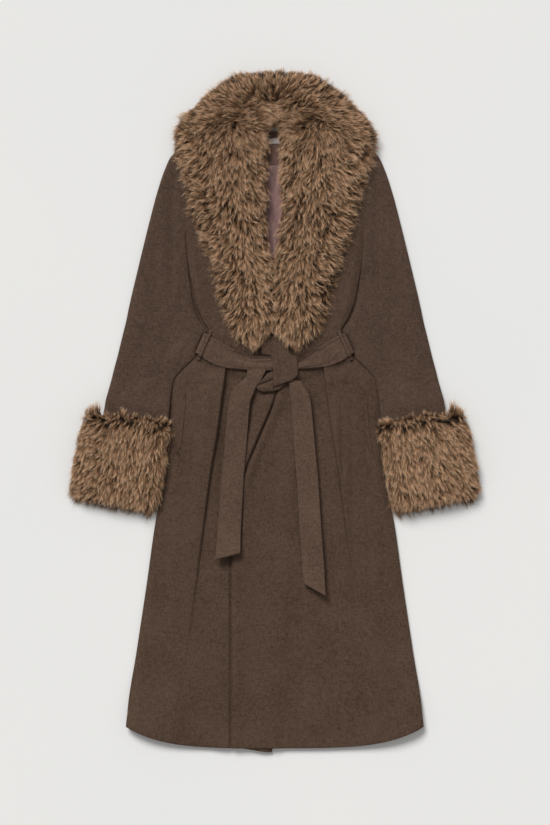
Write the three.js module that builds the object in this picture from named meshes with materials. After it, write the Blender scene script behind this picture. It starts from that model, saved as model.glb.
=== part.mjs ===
// A long belted wool coat with a fur shawl collar and fur cuffs, laid flat on its back.
// Millimetres. X runs across the coat (+X is the wearer's left), Y from hem to collar,
// Z up from the surface it lies on. The origin is on that surface, in the middle.
import * as THREE from 'three';

// ---- Cloth, seams and belt ----
const CLOTH = 2.5;
const LINING = 1.0;
const SEAM = 0.3;
const BELT_WIDTH = 41;
const BELT_THICK = 4.2;
const BELT_CLEAR = 0.5;
const KNOT_PINCH = 8;
const LOOP_WIDTH = 7;
const LOOP_THICK = 1.8;
const LOOP_INSET = 6;
const LOOP_CLEAR = 0.4;

// ---- Heights of the layers where the coat lies flat ----
const BACK_TOP = CLOTH;
const LINING_LOW = BACK_TOP + SEAM;
const LINING_TOP = LINING_LOW + LINING;
const FRONT_LOW = LINING_TOP + SEAM;
const FRONT_TOP = FRONT_LOW + CLOTH;
const WRAP_LOW = FRONT_TOP + 2 * SEAM;
const WRAP_TOP = WRAP_LOW + CLOTH;
const BELT_LIFT = BELT_THICK + 2 * SEAM;

// ---- Outline ----
const HEM_MID = -623.5;
const HEM_SIDE = -583;
const HEM_HALF = 274.5;
const HEM_ROUNDING = 4;
const UNDER_HEM_DROP = 8;
const NECK_HALF = 62;
const NECK_SIDE_Y = 520;
const NECK_DIP = 8;
const SHOULDER_SLOPE = 0.367;
const SIDE_ROLL = 10;
const LINING_INSET = 16;
const LINING_HEM_RISE = 25;
const LINING_TOP_Y = 453.5;
const LINING_TOP_HALF = 140;
const FACING_WIDE = 92;
const FACING_MIDDLE = 80;
const FACING_MIDDLE_Y = 485;
const THICK_SHOULDER_HALF = 112;

// ---- Sleeves and cuffs ----
const SLEEVE_HEIGHT = 8.6;
const SLEEVE_END_LIFT = 8;
const CUFF_ANGLE = THREE.MathUtils.degToRad(11);
const CUFF_X = 268.5;
const CUFF_Y = 3;
const CUFF_GRIP = 20;
const CUFF_THROAT_END = 28;
const THROAT_INNER = -71.6;
const THROAT_TAPER = 0.2;
const THROAT_OUTER = 46;
const MOUTH_INNER = -58;
const MOUTH_OUTER = 44;
const MOUTH_HEIGHT = 3.4;

function table(columns, rows) {
  return rows.map((row) => Object.fromEntries(columns.map((name, i) => [name, row[i]])));
}

// Levels of the body from hem to shoulder. side: half width. crest and trough: the high
// and low lines of the pleat below the belt, with its height. underEdge and overEdge:
// the front edges of the right and the left front.
const LEVELS = table(['y', 'side', 'crest', 'trough', 'pleat', 'underEdge', 'overEdge'], [
  ['hem', HEM_HALF, 190, 182, 0, -5, -79.5],
  [-560, 272, 186, 178, 0.3, -4, -79.5],
  [-440, 254.5, 165, 157, 1, 3, -79.5],
  [-320, 236.5, 148, 140, 2, 10, -79.5],
  [-210, 221, 133.5, 126, 3.5, 17, -79.5],
  [-110, 202, 120, 112.5, 4.5, 24, -51.6],
  [-40, 197, 108, 101, 5, 29, -23.3],
  [20, 192.5, 100, 93.5, 5, 32, 1],
  [55, 186, 95, 88, 3, 34, 8],
  [80, 166, 92, 85, 0, 36, 4],
  [100, 145.2, 90, 84, 0, 37, 0],
  [122, 135.3, 88, 80, 0, 36, -4],
  [146, 124.5, 88, 80, 0, 32, -6],
  [165, 138, 90, 82, 0, 26, -6],
  [200, 151.5, 96, 86, 0, 16, -8],
  [246, 156.5, 100, 88, 0, 0, -6],
  [300, 162, 104, 92, 0, -12, 6],
  [330, 171, 106, 94, 0, -16, 12],
  [400, 166, 110, 98, 0, -30, 24],
  [450, 162.4, 112, 100, 0, -45, 42],
  ['shoulder', 160, 125, 110, 0, -NECK_HALF, NECK_HALF],
]);

// Middle line of the belt, from the knot out to the side edge of the body.
const BELT_LINE = table(['x', 'y', 'low'], [
  [16, 87, WRAP_TOP],
  [39, 87, WRAP_TOP],
  [64, 91, FRONT_TOP + 1.2],
  [89, 98.5, FRONT_TOP],
  [112, 112, FRONT_TOP],
]);
const BELT_SIDE = new THREE.Vector2(134.75, 123.2);
const BELT_HEADING = new THREE.Vector2(0.912, 0.41);

// The belt's turn around the side edge: out from the edge, and height above the surface.
const BELT_TURN = table(['out', 'z'], [
  [-8, 13.9],
  [-1, 13.1],
  [1.6, 12.4],
  [2.9, 10.4],
  [2.9, 5],
  [1.6, 2.8],
  [-1, 2.1],
  [-8, 2.1],
  [-14, 2.1],
]);

// Sleeve rings from the armhole to the wrist, each between its body side and outer side.
const SLEEVE_RINGS = table(['inX', 'inY', 'outX', 'outY', 'lift'], [
  [171.6, 329, 160.6, 483.5, 0],
  [171.8, 327, 176, 481, 0],
  [171.9, 324, 191, 470, 0],
  [170.5, 319, 202.4, 448, 0],
  [165, 308, 219, 400, 0],
  [162.4, 298, 234, 350, 0],
  [157.2, 246, 256, 256, 0],
  [152.2, 200, 271, 195, 0],
  [138.8, 165, 278, 163, 0],
  [131.6, 146, 282.5, 146, 0],
  [141.6, 122, 288.3, 122, 0],
  [151.6, 100, 293.2, 100, 0],
  [166.9, 80, 298, 80, 0],
  [186.9, 55, 303.5, 55, 1],
  [193.3, 22, 309.5, 32, 5],
]);
// The sleeve's end rings, along and across the cuff that holds them.
const SLEEVE_END = table(['along', 'inner', 'outer'], [
  [-6, -70, 45.5],
  [6, -64, 45],
  [CUFF_GRIP, -63, 45],
]);

// Cuff rings from the seam with the sleeve down to the hand. inner is towards the skirt.
const CUFF_RINGS = table(['along', 'inner', 'outer', 'height'], [
  [0, -68, 66, 30],
  [10, -73.5, 74, 40],
  [28, -77, 80, 42],
  [60, -80.5, 84, 41],
  [100, -85, 85, 42],
  [140, -85.5, 84, 41],
  [172, -84, 80, 37],
  [189, -76, 68, 28],
  [197, -62, 50, 20],
]);

// Fur collar, right half mirrored from left: inner and outer edge and depth of the fur.
const COLLAR_ROWS = table(['inX', 'inY', 'outX', 'outY', 'depth'], [
  [14, 151, 46, 113, 14],
  [2, 166, 60, 127, 24],
  [1.5, 200, 82, 153, 31],
  [1.5, 235, 99, 200, 34],
  [1.5, 270, 118, 262, 36],
  [8, 300, 133, 304, 36],
  [10, 350, 148, 345, 37],
  [10, 400, 163, 394, 38],
  [10, 440, 171, 434, 39],
  [10, 480, 184, 467, 40],
  [11, 505, 189, 500, 41],
  [12, 516, 178, 531, 42],
  [11, 521, 152, 560, 42],
  [9, 523, 110, 589, 42],
  [5.5, 524, 60, 613, 42],
  [0.4, 524.5, 0.4, 626, 42],
]);
// Cross section of the collar's fur, from the inner to the outer edge.
const COLLAR_SECTION = table(['across', 'rise'], [
  [0, 0.5],
  [0.08, 0.82],
  [0.22, 0.98],
  [0.42, 1],
  [0.62, 0.97],
  [0.8, 0.85],
  [0.93, 0.6],
  [1, 0.3],
]);
const COLLAR_LOW = WRAP_TOP + 2 * SEAM;
const COLLAR_LIFT_SHIFT = 8;
const COLLAR_BACK_ROW = 11;
const COLLAR_BACK_BASE = 3;
const NECK_FREE_Y = 522;
const COLLAR_FLOOR_Y = 545;
const GAP_SHIFT = -2;
const GAP_SHIFT_FROM = 5;

// The knot's band over the belt, from its top between the lapels to its rolled bottom.
const KNOT_BAND = table(['y', 'left', 'right', 'low'], [
  [144, -8, 12, 16.4],
  [130, -24, 20, 17],
  [114, -22, 29, 19.6],
  [103, -9, 36, 20.2],
  [86, -6, 41, 20.4],
  [66, -5, 41, 20.2],
  [54, -3, 30, 19.6],
]);
const KNOT_LOBE = table(['y', 'left', 'right', 'low'], [
  [65, -22, 12, 16.6],
  [54, -34, 18, 16],
  [44, -37, 14, 16],
  [36, -26, 4, 15.8],
  [32, -18, -4, 15.6],
]);

const LOBE_THICK = 3.2;

// The hanging ends of the belt: middle line, width and height of the underside.
const TAIL_RIGHT = table(['x', 'y', 'turn', 'width', 'low'], [
  [-38, 56.5, 62, 20, 15.6],
  [-46, 50, 42, 32, 15.6],
  [-58, 38, 20, 40, 14.6],
  [-64.5, 18, 10, 40.5, 12.6],
  [-69.5, -33, 5, 41, 10.9],
  [-77, -123, 4.5, 41, 10.6],
  [-84, -212, 4.5, 41, 10.8],
  [-89.5, -269, 5, 41, 12],
]);
const TAIL_LEFT = table(['x', 'y', 'turn', 'width', 'low'], [
  [36, 49, -20, 26, 15],
  [44.5, 40, -12, 34, 14.6],
  [48.5, 18, -7, 36.5, 12.6],
  [53, -33, -4.5, 38, 11],
  [60, -123, -4, 40, 10.6],
  [67, -212, -4, 41, 10.8],
  [75.5, -330, -5, 41, 12],
]);
const TAIL_SLANT = 11;

// Pocket mouths in the side seams of the skirt.
const POCKET_LINE = table(['x', 'y'], [
  [166, 32],
  [168, 10],
  [170, -15],
  [175.5, -62],
  [181, -80],
]);
const POCKET_EDGE_WIDTH = 6;
const POCKET_EDGE_THICK = 1.2;
const POCKET_CLEAR = 1.5;

// ---- Colours ----
const WOOL = new THREE.Color(0x55443a);
const FUR = new THREE.Color(0x8a6a4c);
const MAUVE = new THREE.Color(0x82625c);
const LABEL = new THREE.Color(0xd8d2c8);

const coat = new THREE.Group();

function addPiece(name, geometry, colour, roughness) {
  geometry.computeVertexNormals();
  const material = new THREE.MeshStandardMaterial({ color: colour, roughness, metalness: 0 });
  const mesh = new THREE.Mesh(geometry, material);
  mesh.name = name;
  coat.add(mesh);
}

// A closed geometry from points and triangles, turned so that its faces point out.
function closedGeometry(points, triangles) {
  const a = new THREE.Vector3();
  const b = new THREE.Vector3();
  const c = new THREE.Vector3();
  let volume = 0;
  for (const [i, j, k] of triangles) {
    a.fromArray(points[i]);
    b.fromArray(points[j]);
    c.fromArray(points[k]);
    volume += a.dot(b.cross(c));
  }
  const faces = volume < 0 ? triangles.map(([i, j, k]) => [i, k, j]) : triangles;
  const geometry = new THREE.BufferGeometry();
  geometry.setAttribute('position', new THREE.Float32BufferAttribute(points.flat(), 3));
  geometry.setIndex(faces.flat());
  return geometry;
}

function addQuad(triangles, a, b, c, d) {
  triangles.push([a, b, c], [a, c, d]);
}

// A wall between two grids of points that have the same rows and columns.
function wall(top, bottom) {
  const rows = top.length;
  const columns = top[0].length;
  const under = rows * columns;
  const at = (row, column) => row * columns + column;
  const triangles = [];
  for (let r = 0; r + 1 < rows; r += 1) {
    for (let c = 0; c + 1 < columns; c += 1) {
      addQuad(triangles, at(r, c), at(r, c + 1), at(r + 1, c + 1), at(r + 1, c));
      addQuad(triangles, under + at(r, c), under + at(r + 1, c), under + at(r + 1, c + 1),
        under + at(r, c + 1));
    }
  }
  const rim = [];
  for (let c = 0; c < columns; c += 1) rim.push(at(0, c));
  for (let r = 1; r < rows; r += 1) rim.push(at(r, columns - 1));
  for (let c = columns - 2; c >= 0; c -= 1) rim.push(at(rows - 1, c));
  for (let r = rows - 2; r > 0; r -= 1) rim.push(at(r, 0));
  rim.forEach((from, i) => {
    const to = rim[(i + 1) % rim.length];
    addQuad(triangles, from, under + from, under + to, to);
  });
  return closedGeometry([...top.flat(), ...bottom.flat()], triangles);
}

// A tube with walls: outer rings and inner rings, joined at both open ends.
function openTube(outer, inner) {
  const count = outer[0].length;
  const last = outer.length - 1;
  const start = outer.length * count;
  const out = (ring, i) => ring * count + (i % count);
  const into = (ring, i) => start + ring * count + (i % count);
  const triangles = [];
  for (let ring = 0; ring < last; ring += 1) {
    for (let i = 0; i < count; i += 1) {
      addQuad(triangles, out(ring, i), out(ring, i + 1), out(ring + 1, i + 1), out(ring + 1, i));
      addQuad(triangles, into(ring, i), into(ring + 1, i), into(ring + 1, i + 1),
        into(ring, i + 1));
    }
  }
  for (let i = 0; i < count; i += 1) {
    addQuad(triangles, out(0, i), into(0, i), into(0, i + 1), out(0, i + 1));
    addQuad(triangles, out(last, i), out(last, i + 1), into(last, i + 1), into(last, i));
  }
  return closedGeometry([...outer.flat(), ...inner.flat()], triangles);
}

// A flat strap along stations {x, y, z, turn, width}: turn is its heading's angle about Z,
// z the middle of its thickness, and the strap bends with the slope between stations.
function strap(stations, thickness) {
  const middle = stations.map((s) => new THREE.Vector3(s.x, s.y, s.z));
  const points = [];
  stations.forEach((station, i) => {
    const before = middle[Math.max(0, i - 1)];
    const after = middle[Math.min(stations.length - 1, i + 1)];
    const along = after.clone().sub(before).normalize();
    const across = new THREE.Vector3(-Math.sin(station.turn), Math.cos(station.turn), 0);
    const normal = along.clone().cross(across).normalize();
    for (const [side, face] of [[1, 1], [1, -1], [-1, -1], [-1, 1]]) {
      const corner = middle[i].clone()
        .addScaledVector(across, side * station.width / 2)
        .addScaledVector(normal, face * thickness / 2);
      points.push(corner.toArray());
    }
  });
  const triangles = [];
  for (let i = 0; i + 1 < stations.length; i += 1) {
    for (let k = 0; k < 4; k += 1) {
      const next = (k + 1) % 4;
      addQuad(triangles, 4 * i + k, 4 * i + next, 4 * i + 4 + next, 4 * i + 4 + k);
    }
  }
  const end = 4 * (stations.length - 1);
  addQuad(triangles, 3, 2, 1, 0);
  addQuad(triangles, end, end + 1, end + 2, end + 3);
  return closedGeometry(points, triangles);
}

function mix(a, b, t) {
  return a + (b - a) * t;
}

function hemY(x) {
  return HEM_MID + (HEM_SIDE - HEM_MID) * Math.abs(x / HEM_HALF) ** HEM_ROUNDING;
}

function shoulderY(x) {
  const out = Math.abs(x);
  if (out < NECK_HALF) return NECK_SIDE_Y - NECK_DIP * (1 - (out / NECK_HALF) ** 2);
  return NECK_SIDE_Y - SHOULDER_SLOPE * (out - NECK_HALF);
}

function levelY(level, x) {
  if (level.y === 'hem') return hemY(x);
  if (level.y === 'shoulder') return shoulderY(x);
  return level.y;
}

// How far the belt's back stretch lifts the layers that lie on it.
const LIFT_FROM = 55;
const LIFT_TO = 146;
const LIFT_RAMP_BELOW = 35;
const LIFT_RAMP_ABOVE = 54;
function beltLift(y) {
  const below = (LIFT_FROM - y) / LIFT_RAMP_BELOW;
  const above = (y - LIFT_TO) / LIFT_RAMP_ABOVE;
  return BELT_LIFT * THREE.MathUtils.clamp(1 - Math.max(below, above), 0, 1);
}

// ---- Back panel ----
const BACK_COLUMNS = [-1, -0.7, -0.35, 0, 0.35, 0.7, 1];
const backLow = LEVELS.map((level) => BACK_COLUMNS.map((part) => {
  const x = part * level.side;
  const y = levelY(level, x);
  return [x, y, beltLift(y)];
}));
const raise = (grid, height) => grid.map((row) => row.map(([x, y, z]) => [x, y, z + height]));
addPiece('back', wall(raise(backLow, CLOTH), backLow), WOOL, 0.95);

// ---- Lining and facing of the back, seen through the neck opening ----
const liningRows = LEVELS.filter((level) => level.y === 'hem' || level.y < LINING_TOP_Y);
const LINING_COLUMNS = [-1, -0.5, 0, 0.5, 1];
const liningLow = liningRows.map((level) => LINING_COLUMNS.map((part) => {
  const x = part * (level.side - LINING_INSET);
  const y = level.y === 'hem' ? hemY(x) + LINING_HEM_RISE : level.y;
  return [x, y, LINING_LOW + beltLift(y)];
}));
liningLow.push(LINING_COLUMNS.map(
  (part) => [part * LINING_TOP_HALF, LINING_TOP_Y, LINING_LOW],
));
addPiece('back_lining', wall(raise(liningLow, LINING), liningLow), MAUVE, 0.5);

const FACING_ROWS = table(['y', 'half'], [
  [LINING_TOP_Y + SEAM, FACING_WIDE],
  [FACING_MIDDLE_Y, FACING_MIDDLE],
  ['shoulder', NECK_HALF],
]);
const facingLow = FACING_ROWS.map((row) => LINING_COLUMNS.map((part) => {
  const x = part * row.half;
  const y = row.y === 'shoulder' ? shoulderY(x) : row.y;
  return [x, y, LINING_LOW];
}));
addPiece('neck_facing', wall(raise(facingLow, LINING), facingLow), WOOL, 0.95);

const LABEL_LEFT = -26;
const LABEL_RIGHT = 22;
const LABEL_LOW_Y = 492;
const LABEL_HIGH_Y = 507;
const LABEL_THICK = 0.8;
const labelLow = [LABEL_LOW_Y, LABEL_HIGH_Y].map((y) => [LABEL_LEFT, LABEL_RIGHT].map(
  (x) => [x, y, LINING_TOP + SEAM],
));
addPiece('neck_label', wall(raise(labelLow, LABEL_THICK), labelLow), LABEL, 0.6);

// ---- Fronts ----
// Where a column of a front lies between its side and its pleat, and its share of the pleat.
const SLOPE_LOW = 0.45;
const SLOPE_HIGH = 0.8;
const SHARE_LOW = 0.2;
const SHARE_HIGH = 0.7;

// Underside of a front at the shoulder seam: higher over the facing near the neck.
function seamLow(x) {
  return Math.abs(x) < THICK_SHOULDER_HALF ? FRONT_LOW : LINING_LOW;
}

function placeFront(level, columns) {
  return columns.map(([x, low, drop = 0]) => {
    const y = levelY(level, x) - (level.y === 'hem' ? drop : 0);
    return [x, y, (level.y === 'shoulder' ? seamLow(x) : low) + beltLift(y)];
  });
}

const frontRightLow = LEVELS.map((level) => {
  const { side, crest, trough, pleat, underEdge } = level;
  return placeFront(level, [
    [-side, LINING_LOW],
    [SIDE_ROLL - side, FRONT_LOW],
    [-mix(side, crest, SLOPE_LOW), FRONT_LOW + SHARE_LOW * pleat],
    [-mix(side, crest, SLOPE_HIGH), FRONT_LOW + SHARE_HIGH * pleat],
    [-crest, FRONT_LOW + pleat],
    [-trough, FRONT_LOW],
    [mix(-trough, underEdge, 0.5), FRONT_LOW],
    [underEdge, FRONT_LOW, UNDER_HEM_DROP],
  ]);
});
addPiece('front_right', wall(raise(frontRightLow, CLOTH), frontRightLow), WOOL, 0.95);

// The left front steps down off the right front's edge: where it starts and ends.
const STEP_PAST_EDGE = 4;
const FOOT_PAST_EDGE = 26;
const frontLeftLow = LEVELS.map((level) => {
  const { side, crest, trough, pleat, underEdge, overEdge } = level;
  const step = Math.max(underEdge + STEP_PAST_EDGE, overEdge + 2 * STEP_PAST_EDGE);
  const foot = Math.max(underEdge + FOOT_PAST_EDGE, overEdge + FOOT_PAST_EDGE - 2);
  return placeFront(level, [
    [side, LINING_LOW],
    [side - SIDE_ROLL, FRONT_LOW],
    [mix(side, crest, SLOPE_LOW), FRONT_LOW + SHARE_LOW * pleat],
    [mix(side, crest, SLOPE_HIGH), FRONT_LOW + SHARE_HIGH * pleat],
    [crest, FRONT_LOW + pleat],
    [trough, FRONT_LOW],
    [foot, FRONT_LOW],
    [step, WRAP_LOW],
    [mix(step, overEdge, 0.5), WRAP_LOW],
    [overEdge, WRAP_LOW],
  ]);
});
addPiece('front_left', wall(raise(frontLeftLow, CLOTH), frontLeftLow), WOOL, 0.95);

// ---- Tube sections: across from -1 to 1 and up from 0 to 1, sixteen points each ----
const FLAT_TUBE = [[-0.94, 0], [-0.35, 0], [0.35, 0], [0.94, 0], [0.985, 0.15], [1, 0.5],
  [0.985, 0.8], [0.94, 0.95], [0.5, 1], [0.15, 1], [-0.15, 1], [-0.5, 1], [-0.94, 0.95],
  [-0.985, 0.8], [-1, 0.5], [-0.985, 0.15]];
const INSIDE = [[-0.97, 0], [-0.35, 0], [0.35, 0], [0.97, 0], [1, 0.25], [1, 0.5],
  [1, 0.75], [0.97, 1], [0.5, 1], [0.15, 1], [-0.15, 1], [-0.5, 1], [-0.97, 1],
  [-1, 0.75], [-1, 0.5], [-1, 0.25]];
const FUR_TUBE = [[-0.85, 0], [-0.3, 0], [0.3, 0], [0.85, 0], [0.97, 0.15], [1, 0.42],
  [0.95, 0.7], [0.8, 0.9], [0.5, 0.99], [0.15, 1], [-0.15, 1], [-0.5, 0.99], [-0.8, 0.9],
  [-0.95, 0.7], [-1, 0.42], [-0.97, 0.15]];

// One ring between two points, raised from low to high, with its ends moved in by inset.
function ring(from, to, section, low, high, inset) {
  const length = Math.hypot(to[0] - from[0], to[1] - from[1]);
  const reach = 1 - 2 * inset / length;
  return section.map(([across, up]) => {
    const t = 0.5 + 0.5 * across * reach;
    return [mix(from[0], to[0], t), mix(from[1], to[1], t), mix(low, high, up)];
  });
}

function cuffPoint(along, across, sign) {
  const x = CUFF_X + along * Math.sin(CUFF_ANGLE) + across * Math.cos(CUFF_ANGLE);
  const y = CUFF_Y - along * Math.cos(CUFF_ANGLE) + across * Math.sin(CUFF_ANGLE);
  return [sign * x, y];
}

// ---- Sleeves and cuffs: right is -X, left is +X ----
for (const [hand, sign] of [['right', -1], ['left', 1]]) {
  const spans = SLEEVE_RINGS.map((row) => ({
    from: [sign * row.inX, row.inY],
    to: [sign * row.outX, row.outY],
    lift: row.lift,
  }));
  for (const row of SLEEVE_END) {
    spans.push({
      from: cuffPoint(row.along, row.inner, sign),
      to: cuffPoint(row.along, row.outer, sign),
      lift: SLEEVE_END_LIFT,
    });
  }
  const outer = spans.map(({ from, to, lift }) => ring(from, to, FLAT_TUBE, lift,
    lift + SLEEVE_HEIGHT, 0));
  const inner = spans.map(({ from, to, lift }) => ring(from, to, INSIDE, lift + CLOTH,
    lift + SLEEVE_HEIGHT - CLOTH, CLOTH));
  addPiece(`sleeve_${hand}`, openTube(outer, inner), WOOL, 0.95);

  const tunnelLow = SLEEVE_END_LIFT - SEAM;
  const tunnelHigh = SLEEVE_END_LIFT + SLEEVE_HEIGHT + SEAM;
  const slitLow = (tunnelLow + tunnelHigh - MOUTH_HEIGHT) / 2;
  const furOuter = CUFF_RINGS.map((row) => ring(
    cuffPoint(row.along, row.inner, sign),
    cuffPoint(row.along, row.outer, sign),
    FUR_TUBE,
    0,
    row.height,
    0,
  ));
  const furInner = CUFF_RINGS.map((row) => {
    const holdsSleeve = row.along <= CUFF_THROAT_END;
    const inside = holdsSleeve ? THROAT_INNER + THROAT_TAPER * row.along : MOUTH_INNER;
    const from = cuffPoint(row.along, inside, sign);
    const to = cuffPoint(row.along, holdsSleeve ? THROAT_OUTER : MOUTH_OUTER, sign);
    const low = holdsSleeve ? tunnelLow : slitLow;
    const high = holdsSleeve ? tunnelHigh : slitLow + MOUTH_HEIGHT;
    return ring(from, to, INSIDE, low, high, 0);
  });
  addPiece(`cuff_${hand}`, openTube(furOuter, furInner), FUR, 0.9);

  // ---- Collar half: a fur slab that lies on the front and rounds the neck ----
  const under = (y) => {
    const free = THREE.MathUtils.clamp((y - NECK_FREE_Y) / (COLLAR_FLOOR_Y - NECK_FREE_Y), 0, 1);
    return (COLLAR_LOW + beltLift(y - COLLAR_LIFT_SHIFT)) * (1 - free);
  };
  const plan = COLLAR_ROWS.map((row) => COLLAR_SECTION.map(({ across }) => {
    const shifted = row.inX > GAP_SHIFT_FROM && row.inY < NECK_FREE_Y;
    const inX = row.inX + (shifted ? sign * GAP_SHIFT : 0);
    return [sign * mix(inX, row.outX, across), mix(row.inY, row.outY, across)];
  }));
  const furLow = plan.map((row) => row.map(([x, y]) => [x, y, under(y)]));
  const furTop = plan.map((row, r) => row.map(([x, y], c) => {
    const base = Math.max(under(y), r >= COLLAR_BACK_ROW ? COLLAR_BACK_BASE : 0);
    return [x, y, base + COLLAR_ROWS[r].depth * COLLAR_SECTION[c].rise];
  }));
  addPiece(`collar_${hand}`, wall(furTop, furLow), FUR, 0.9);

  // ---- Belt stretch from the knot, around the side edge and in under the back ----
  const headingAngle = Math.atan2(BELT_HEADING.y, sign * BELT_HEADING.x);
  const lineTurn = (i) => {
    const a = BELT_LINE[Math.max(0, i - 1)];
    const b = BELT_LINE[i + 1] ?? { x: BELT_SIDE.x, y: BELT_SIDE.y };
    return Math.atan2(b.y - a.y, sign * (b.x - a.x));
  };
  const beltRun = BELT_LINE.map(({ x, y, low }, i) => ({
    x: sign * (i === 0 && sign < 0 ? 2 * SEAM - x : x),
    y,
    z: low + BELT_LIFT + BELT_CLEAR + BELT_THICK / 2,
    turn: lineTurn(i),
    width: i === 0 ? BELT_WIDTH - KNOT_PINCH : BELT_WIDTH,
  }));
  for (const { out, z } of BELT_TURN) {
    beltRun.push({
      x: sign * (BELT_SIDE.x + out * BELT_HEADING.x),
      y: BELT_SIDE.y + out * BELT_HEADING.y,
      z,
      turn: headingAngle,
      width: BELT_WIDTH,
    });
  }
  addPiece(`belt_front_${hand}`, strap(beltRun, BELT_THICK), WOOL, 0.95);

  // ---- Side loop: over the belt, stitched to the front above and below it ----
  const loopMiddle = BELT_SIDE.clone()
    .addScaledVector(BELT_HEADING, -LOOP_INSET - LOOP_WIDTH / 2);
  const loopFoot = FRONT_TOP + BELT_LIFT + LOOP_CLEAR + LOOP_THICK / 2;
  const loopOver = BELT_TURN[0].z + BELT_THICK / 2 + 2 * SEAM + LOOP_THICK / 2;
  const LOOP_RUN = table(['reach', 'z'], [
    [-30, loopFoot],
    [-24, loopFoot],
    [-22.6, loopOver - 1],
    [-20, loopOver],
    [20, loopOver],
    [22.6, loopOver - 1],
    [24, loopFoot],
    [30, loopFoot],
  ]);
  const loop = LOOP_RUN.map(({ reach, z }) => ({
    x: sign * (loopMiddle.x - reach * BELT_HEADING.y),
    y: loopMiddle.y + reach * BELT_HEADING.x,
    z,
    turn: headingAngle + Math.PI / 2,
    width: LOOP_WIDTH,
  }));
  addPiece(`belt_loop_${hand}`, strap(loop, LOOP_THICK), WOOL, 0.95);

  // ---- Pocket mouth: the turned edge of the seam ----
  const pocket = POCKET_LINE.map(({ x, y }, i) => {
    const a = POCKET_LINE[Math.max(0, i - 1)];
    const b = POCKET_LINE[Math.min(POCKET_LINE.length - 1, i + 1)];
    return {
      x: sign * x,
      y,
      z: FRONT_TOP + beltLift(y) + POCKET_CLEAR + POCKET_EDGE_THICK / 2,
      turn: Math.atan2(b.y - a.y, sign * (b.x - a.x)),
      width: POCKET_EDGE_WIDTH,
    };
  });
  addPiece(`pocket_edge_${hand}`, strap(pocket, POCKET_EDGE_THICK), WOOL, 0.95);
}

// ---- Belt behind the back panel: a shallow curve between the two side turns ----
const BACK_BELT_HALF = 116;
const BACK_BELT_STEPS = 8;
const BACK_BELT_CURVE = 2.5;
const backRun = [];
for (let i = 0; i <= BACK_BELT_STEPS; i += 1) {
  const x = mix(-BACK_BELT_HALF, BACK_BELT_HALF, i / BACK_BELT_STEPS);
  const t = Math.abs(x) / BELT_SIDE.x;
  const rise = BELT_SIDE.y - BELT_LINE[0].y;
  const y = BELT_LINE[0].y + rise * t ** BACK_BELT_CURVE;
  const steepness = BACK_BELT_CURVE * rise / BELT_SIDE.x * t ** (BACK_BELT_CURVE - 1);
  const slope = Math.sign(x) * steepness;
  backRun.push({ x, y, z: BELT_THICK / 2, turn: Math.atan(slope), width: BELT_WIDTH });
}
addPiece('belt_back', strap(backRun, BELT_THICK), WOOL, 0.95);

// ---- Knot ----
function knotPiece(rows, thickness) {
  const low = rows.map((row) => [0, 0.5, 1].map(
    (t) => [mix(row.left, row.right, t), row.y, row.low],
  ));
  return wall(raise(low, thickness), low);
}
addPiece('knot_band', knotPiece(KNOT_BAND, BELT_THICK), WOOL, 0.95);
addPiece('knot_lobe', knotPiece(KNOT_LOBE, LOBE_THICK), WOOL, 0.95);

// ---- Hanging ends ----
function tail(rows, slantSign) {
  const low = rows.map((row, i) => [-0.5, 0, 0.5].map((side) => {
    const angle = THREE.MathUtils.degToRad(row.turn);
    const slant = i === rows.length - 1 ? slantSign * TAIL_SLANT * side : 0;
    const x = row.x + side * row.width * Math.cos(angle);
    const y = row.y + side * row.width * Math.sin(angle) + slant;
    return [x, y, row.low];
  }));
  return wall(raise(low, BELT_THICK), low);
}
addPiece('tail_right', tail(TAIL_RIGHT, 1), WOOL, 0.95);
addPiece('tail_left', tail(TAIL_LEFT, -1), WOOL, 0.95);

export default coat;
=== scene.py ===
# A long belted wool coat with a fur shawl collar and deep fur cuffs, laid flat on its back.
# Sizes are in millimetres and become metres where a mesh is made. +X is the wearer's left,
# +Y runs from the hem to the collar and +Z up from the surface that the coat lies on.
import bpy
import numpy as np
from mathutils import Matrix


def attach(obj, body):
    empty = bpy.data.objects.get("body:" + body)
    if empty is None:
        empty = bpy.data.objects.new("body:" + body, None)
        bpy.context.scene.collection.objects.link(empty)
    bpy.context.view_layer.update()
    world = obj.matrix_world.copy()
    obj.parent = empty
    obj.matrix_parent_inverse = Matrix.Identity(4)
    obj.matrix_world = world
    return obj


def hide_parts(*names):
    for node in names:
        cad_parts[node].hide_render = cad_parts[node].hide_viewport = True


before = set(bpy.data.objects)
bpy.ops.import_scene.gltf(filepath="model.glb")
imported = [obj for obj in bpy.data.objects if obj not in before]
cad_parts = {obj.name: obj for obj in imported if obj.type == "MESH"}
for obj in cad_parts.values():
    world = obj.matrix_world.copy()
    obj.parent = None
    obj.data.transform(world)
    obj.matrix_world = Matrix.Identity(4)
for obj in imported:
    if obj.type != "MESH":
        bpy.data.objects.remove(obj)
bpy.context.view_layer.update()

# ---- Camera ----
# A camera on a boom, straight above the middle of the coat and looking down,
# far enough away that the raised fur isn't much enlarged.
scene = bpy.context.scene
CAMERA_HEIGHT = 4.0
VIEW_HEIGHT = 1.526
camera_lens = bpy.data.cameras.new("camera")
camera_lens.sensor_width = 36
camera_lens.lens = 36 * CAMERA_HEIGHT / VIEW_HEIGHT
camera = bpy.data.objects.new("camera", camera_lens)
camera.location = (0.0005, -0.0037, CAMERA_HEIGHT)
scene.collection.objects.link(camera)
scene.camera = camera


# ---- Floor ----
# A plain pale board with a matt face, wide enough to fill the view from every side.
def paint(red, green, blue):
    """A screen colour from 0 to 255 as Blender's linear colour."""
    parts = np.array([red, green, blue]) / 255
    linear = np.where(parts <= 0.04045, parts / 12.92, ((parts + 0.055) / 1.055) ** 2.4)
    return (*linear.tolist(), 1.0)


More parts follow.
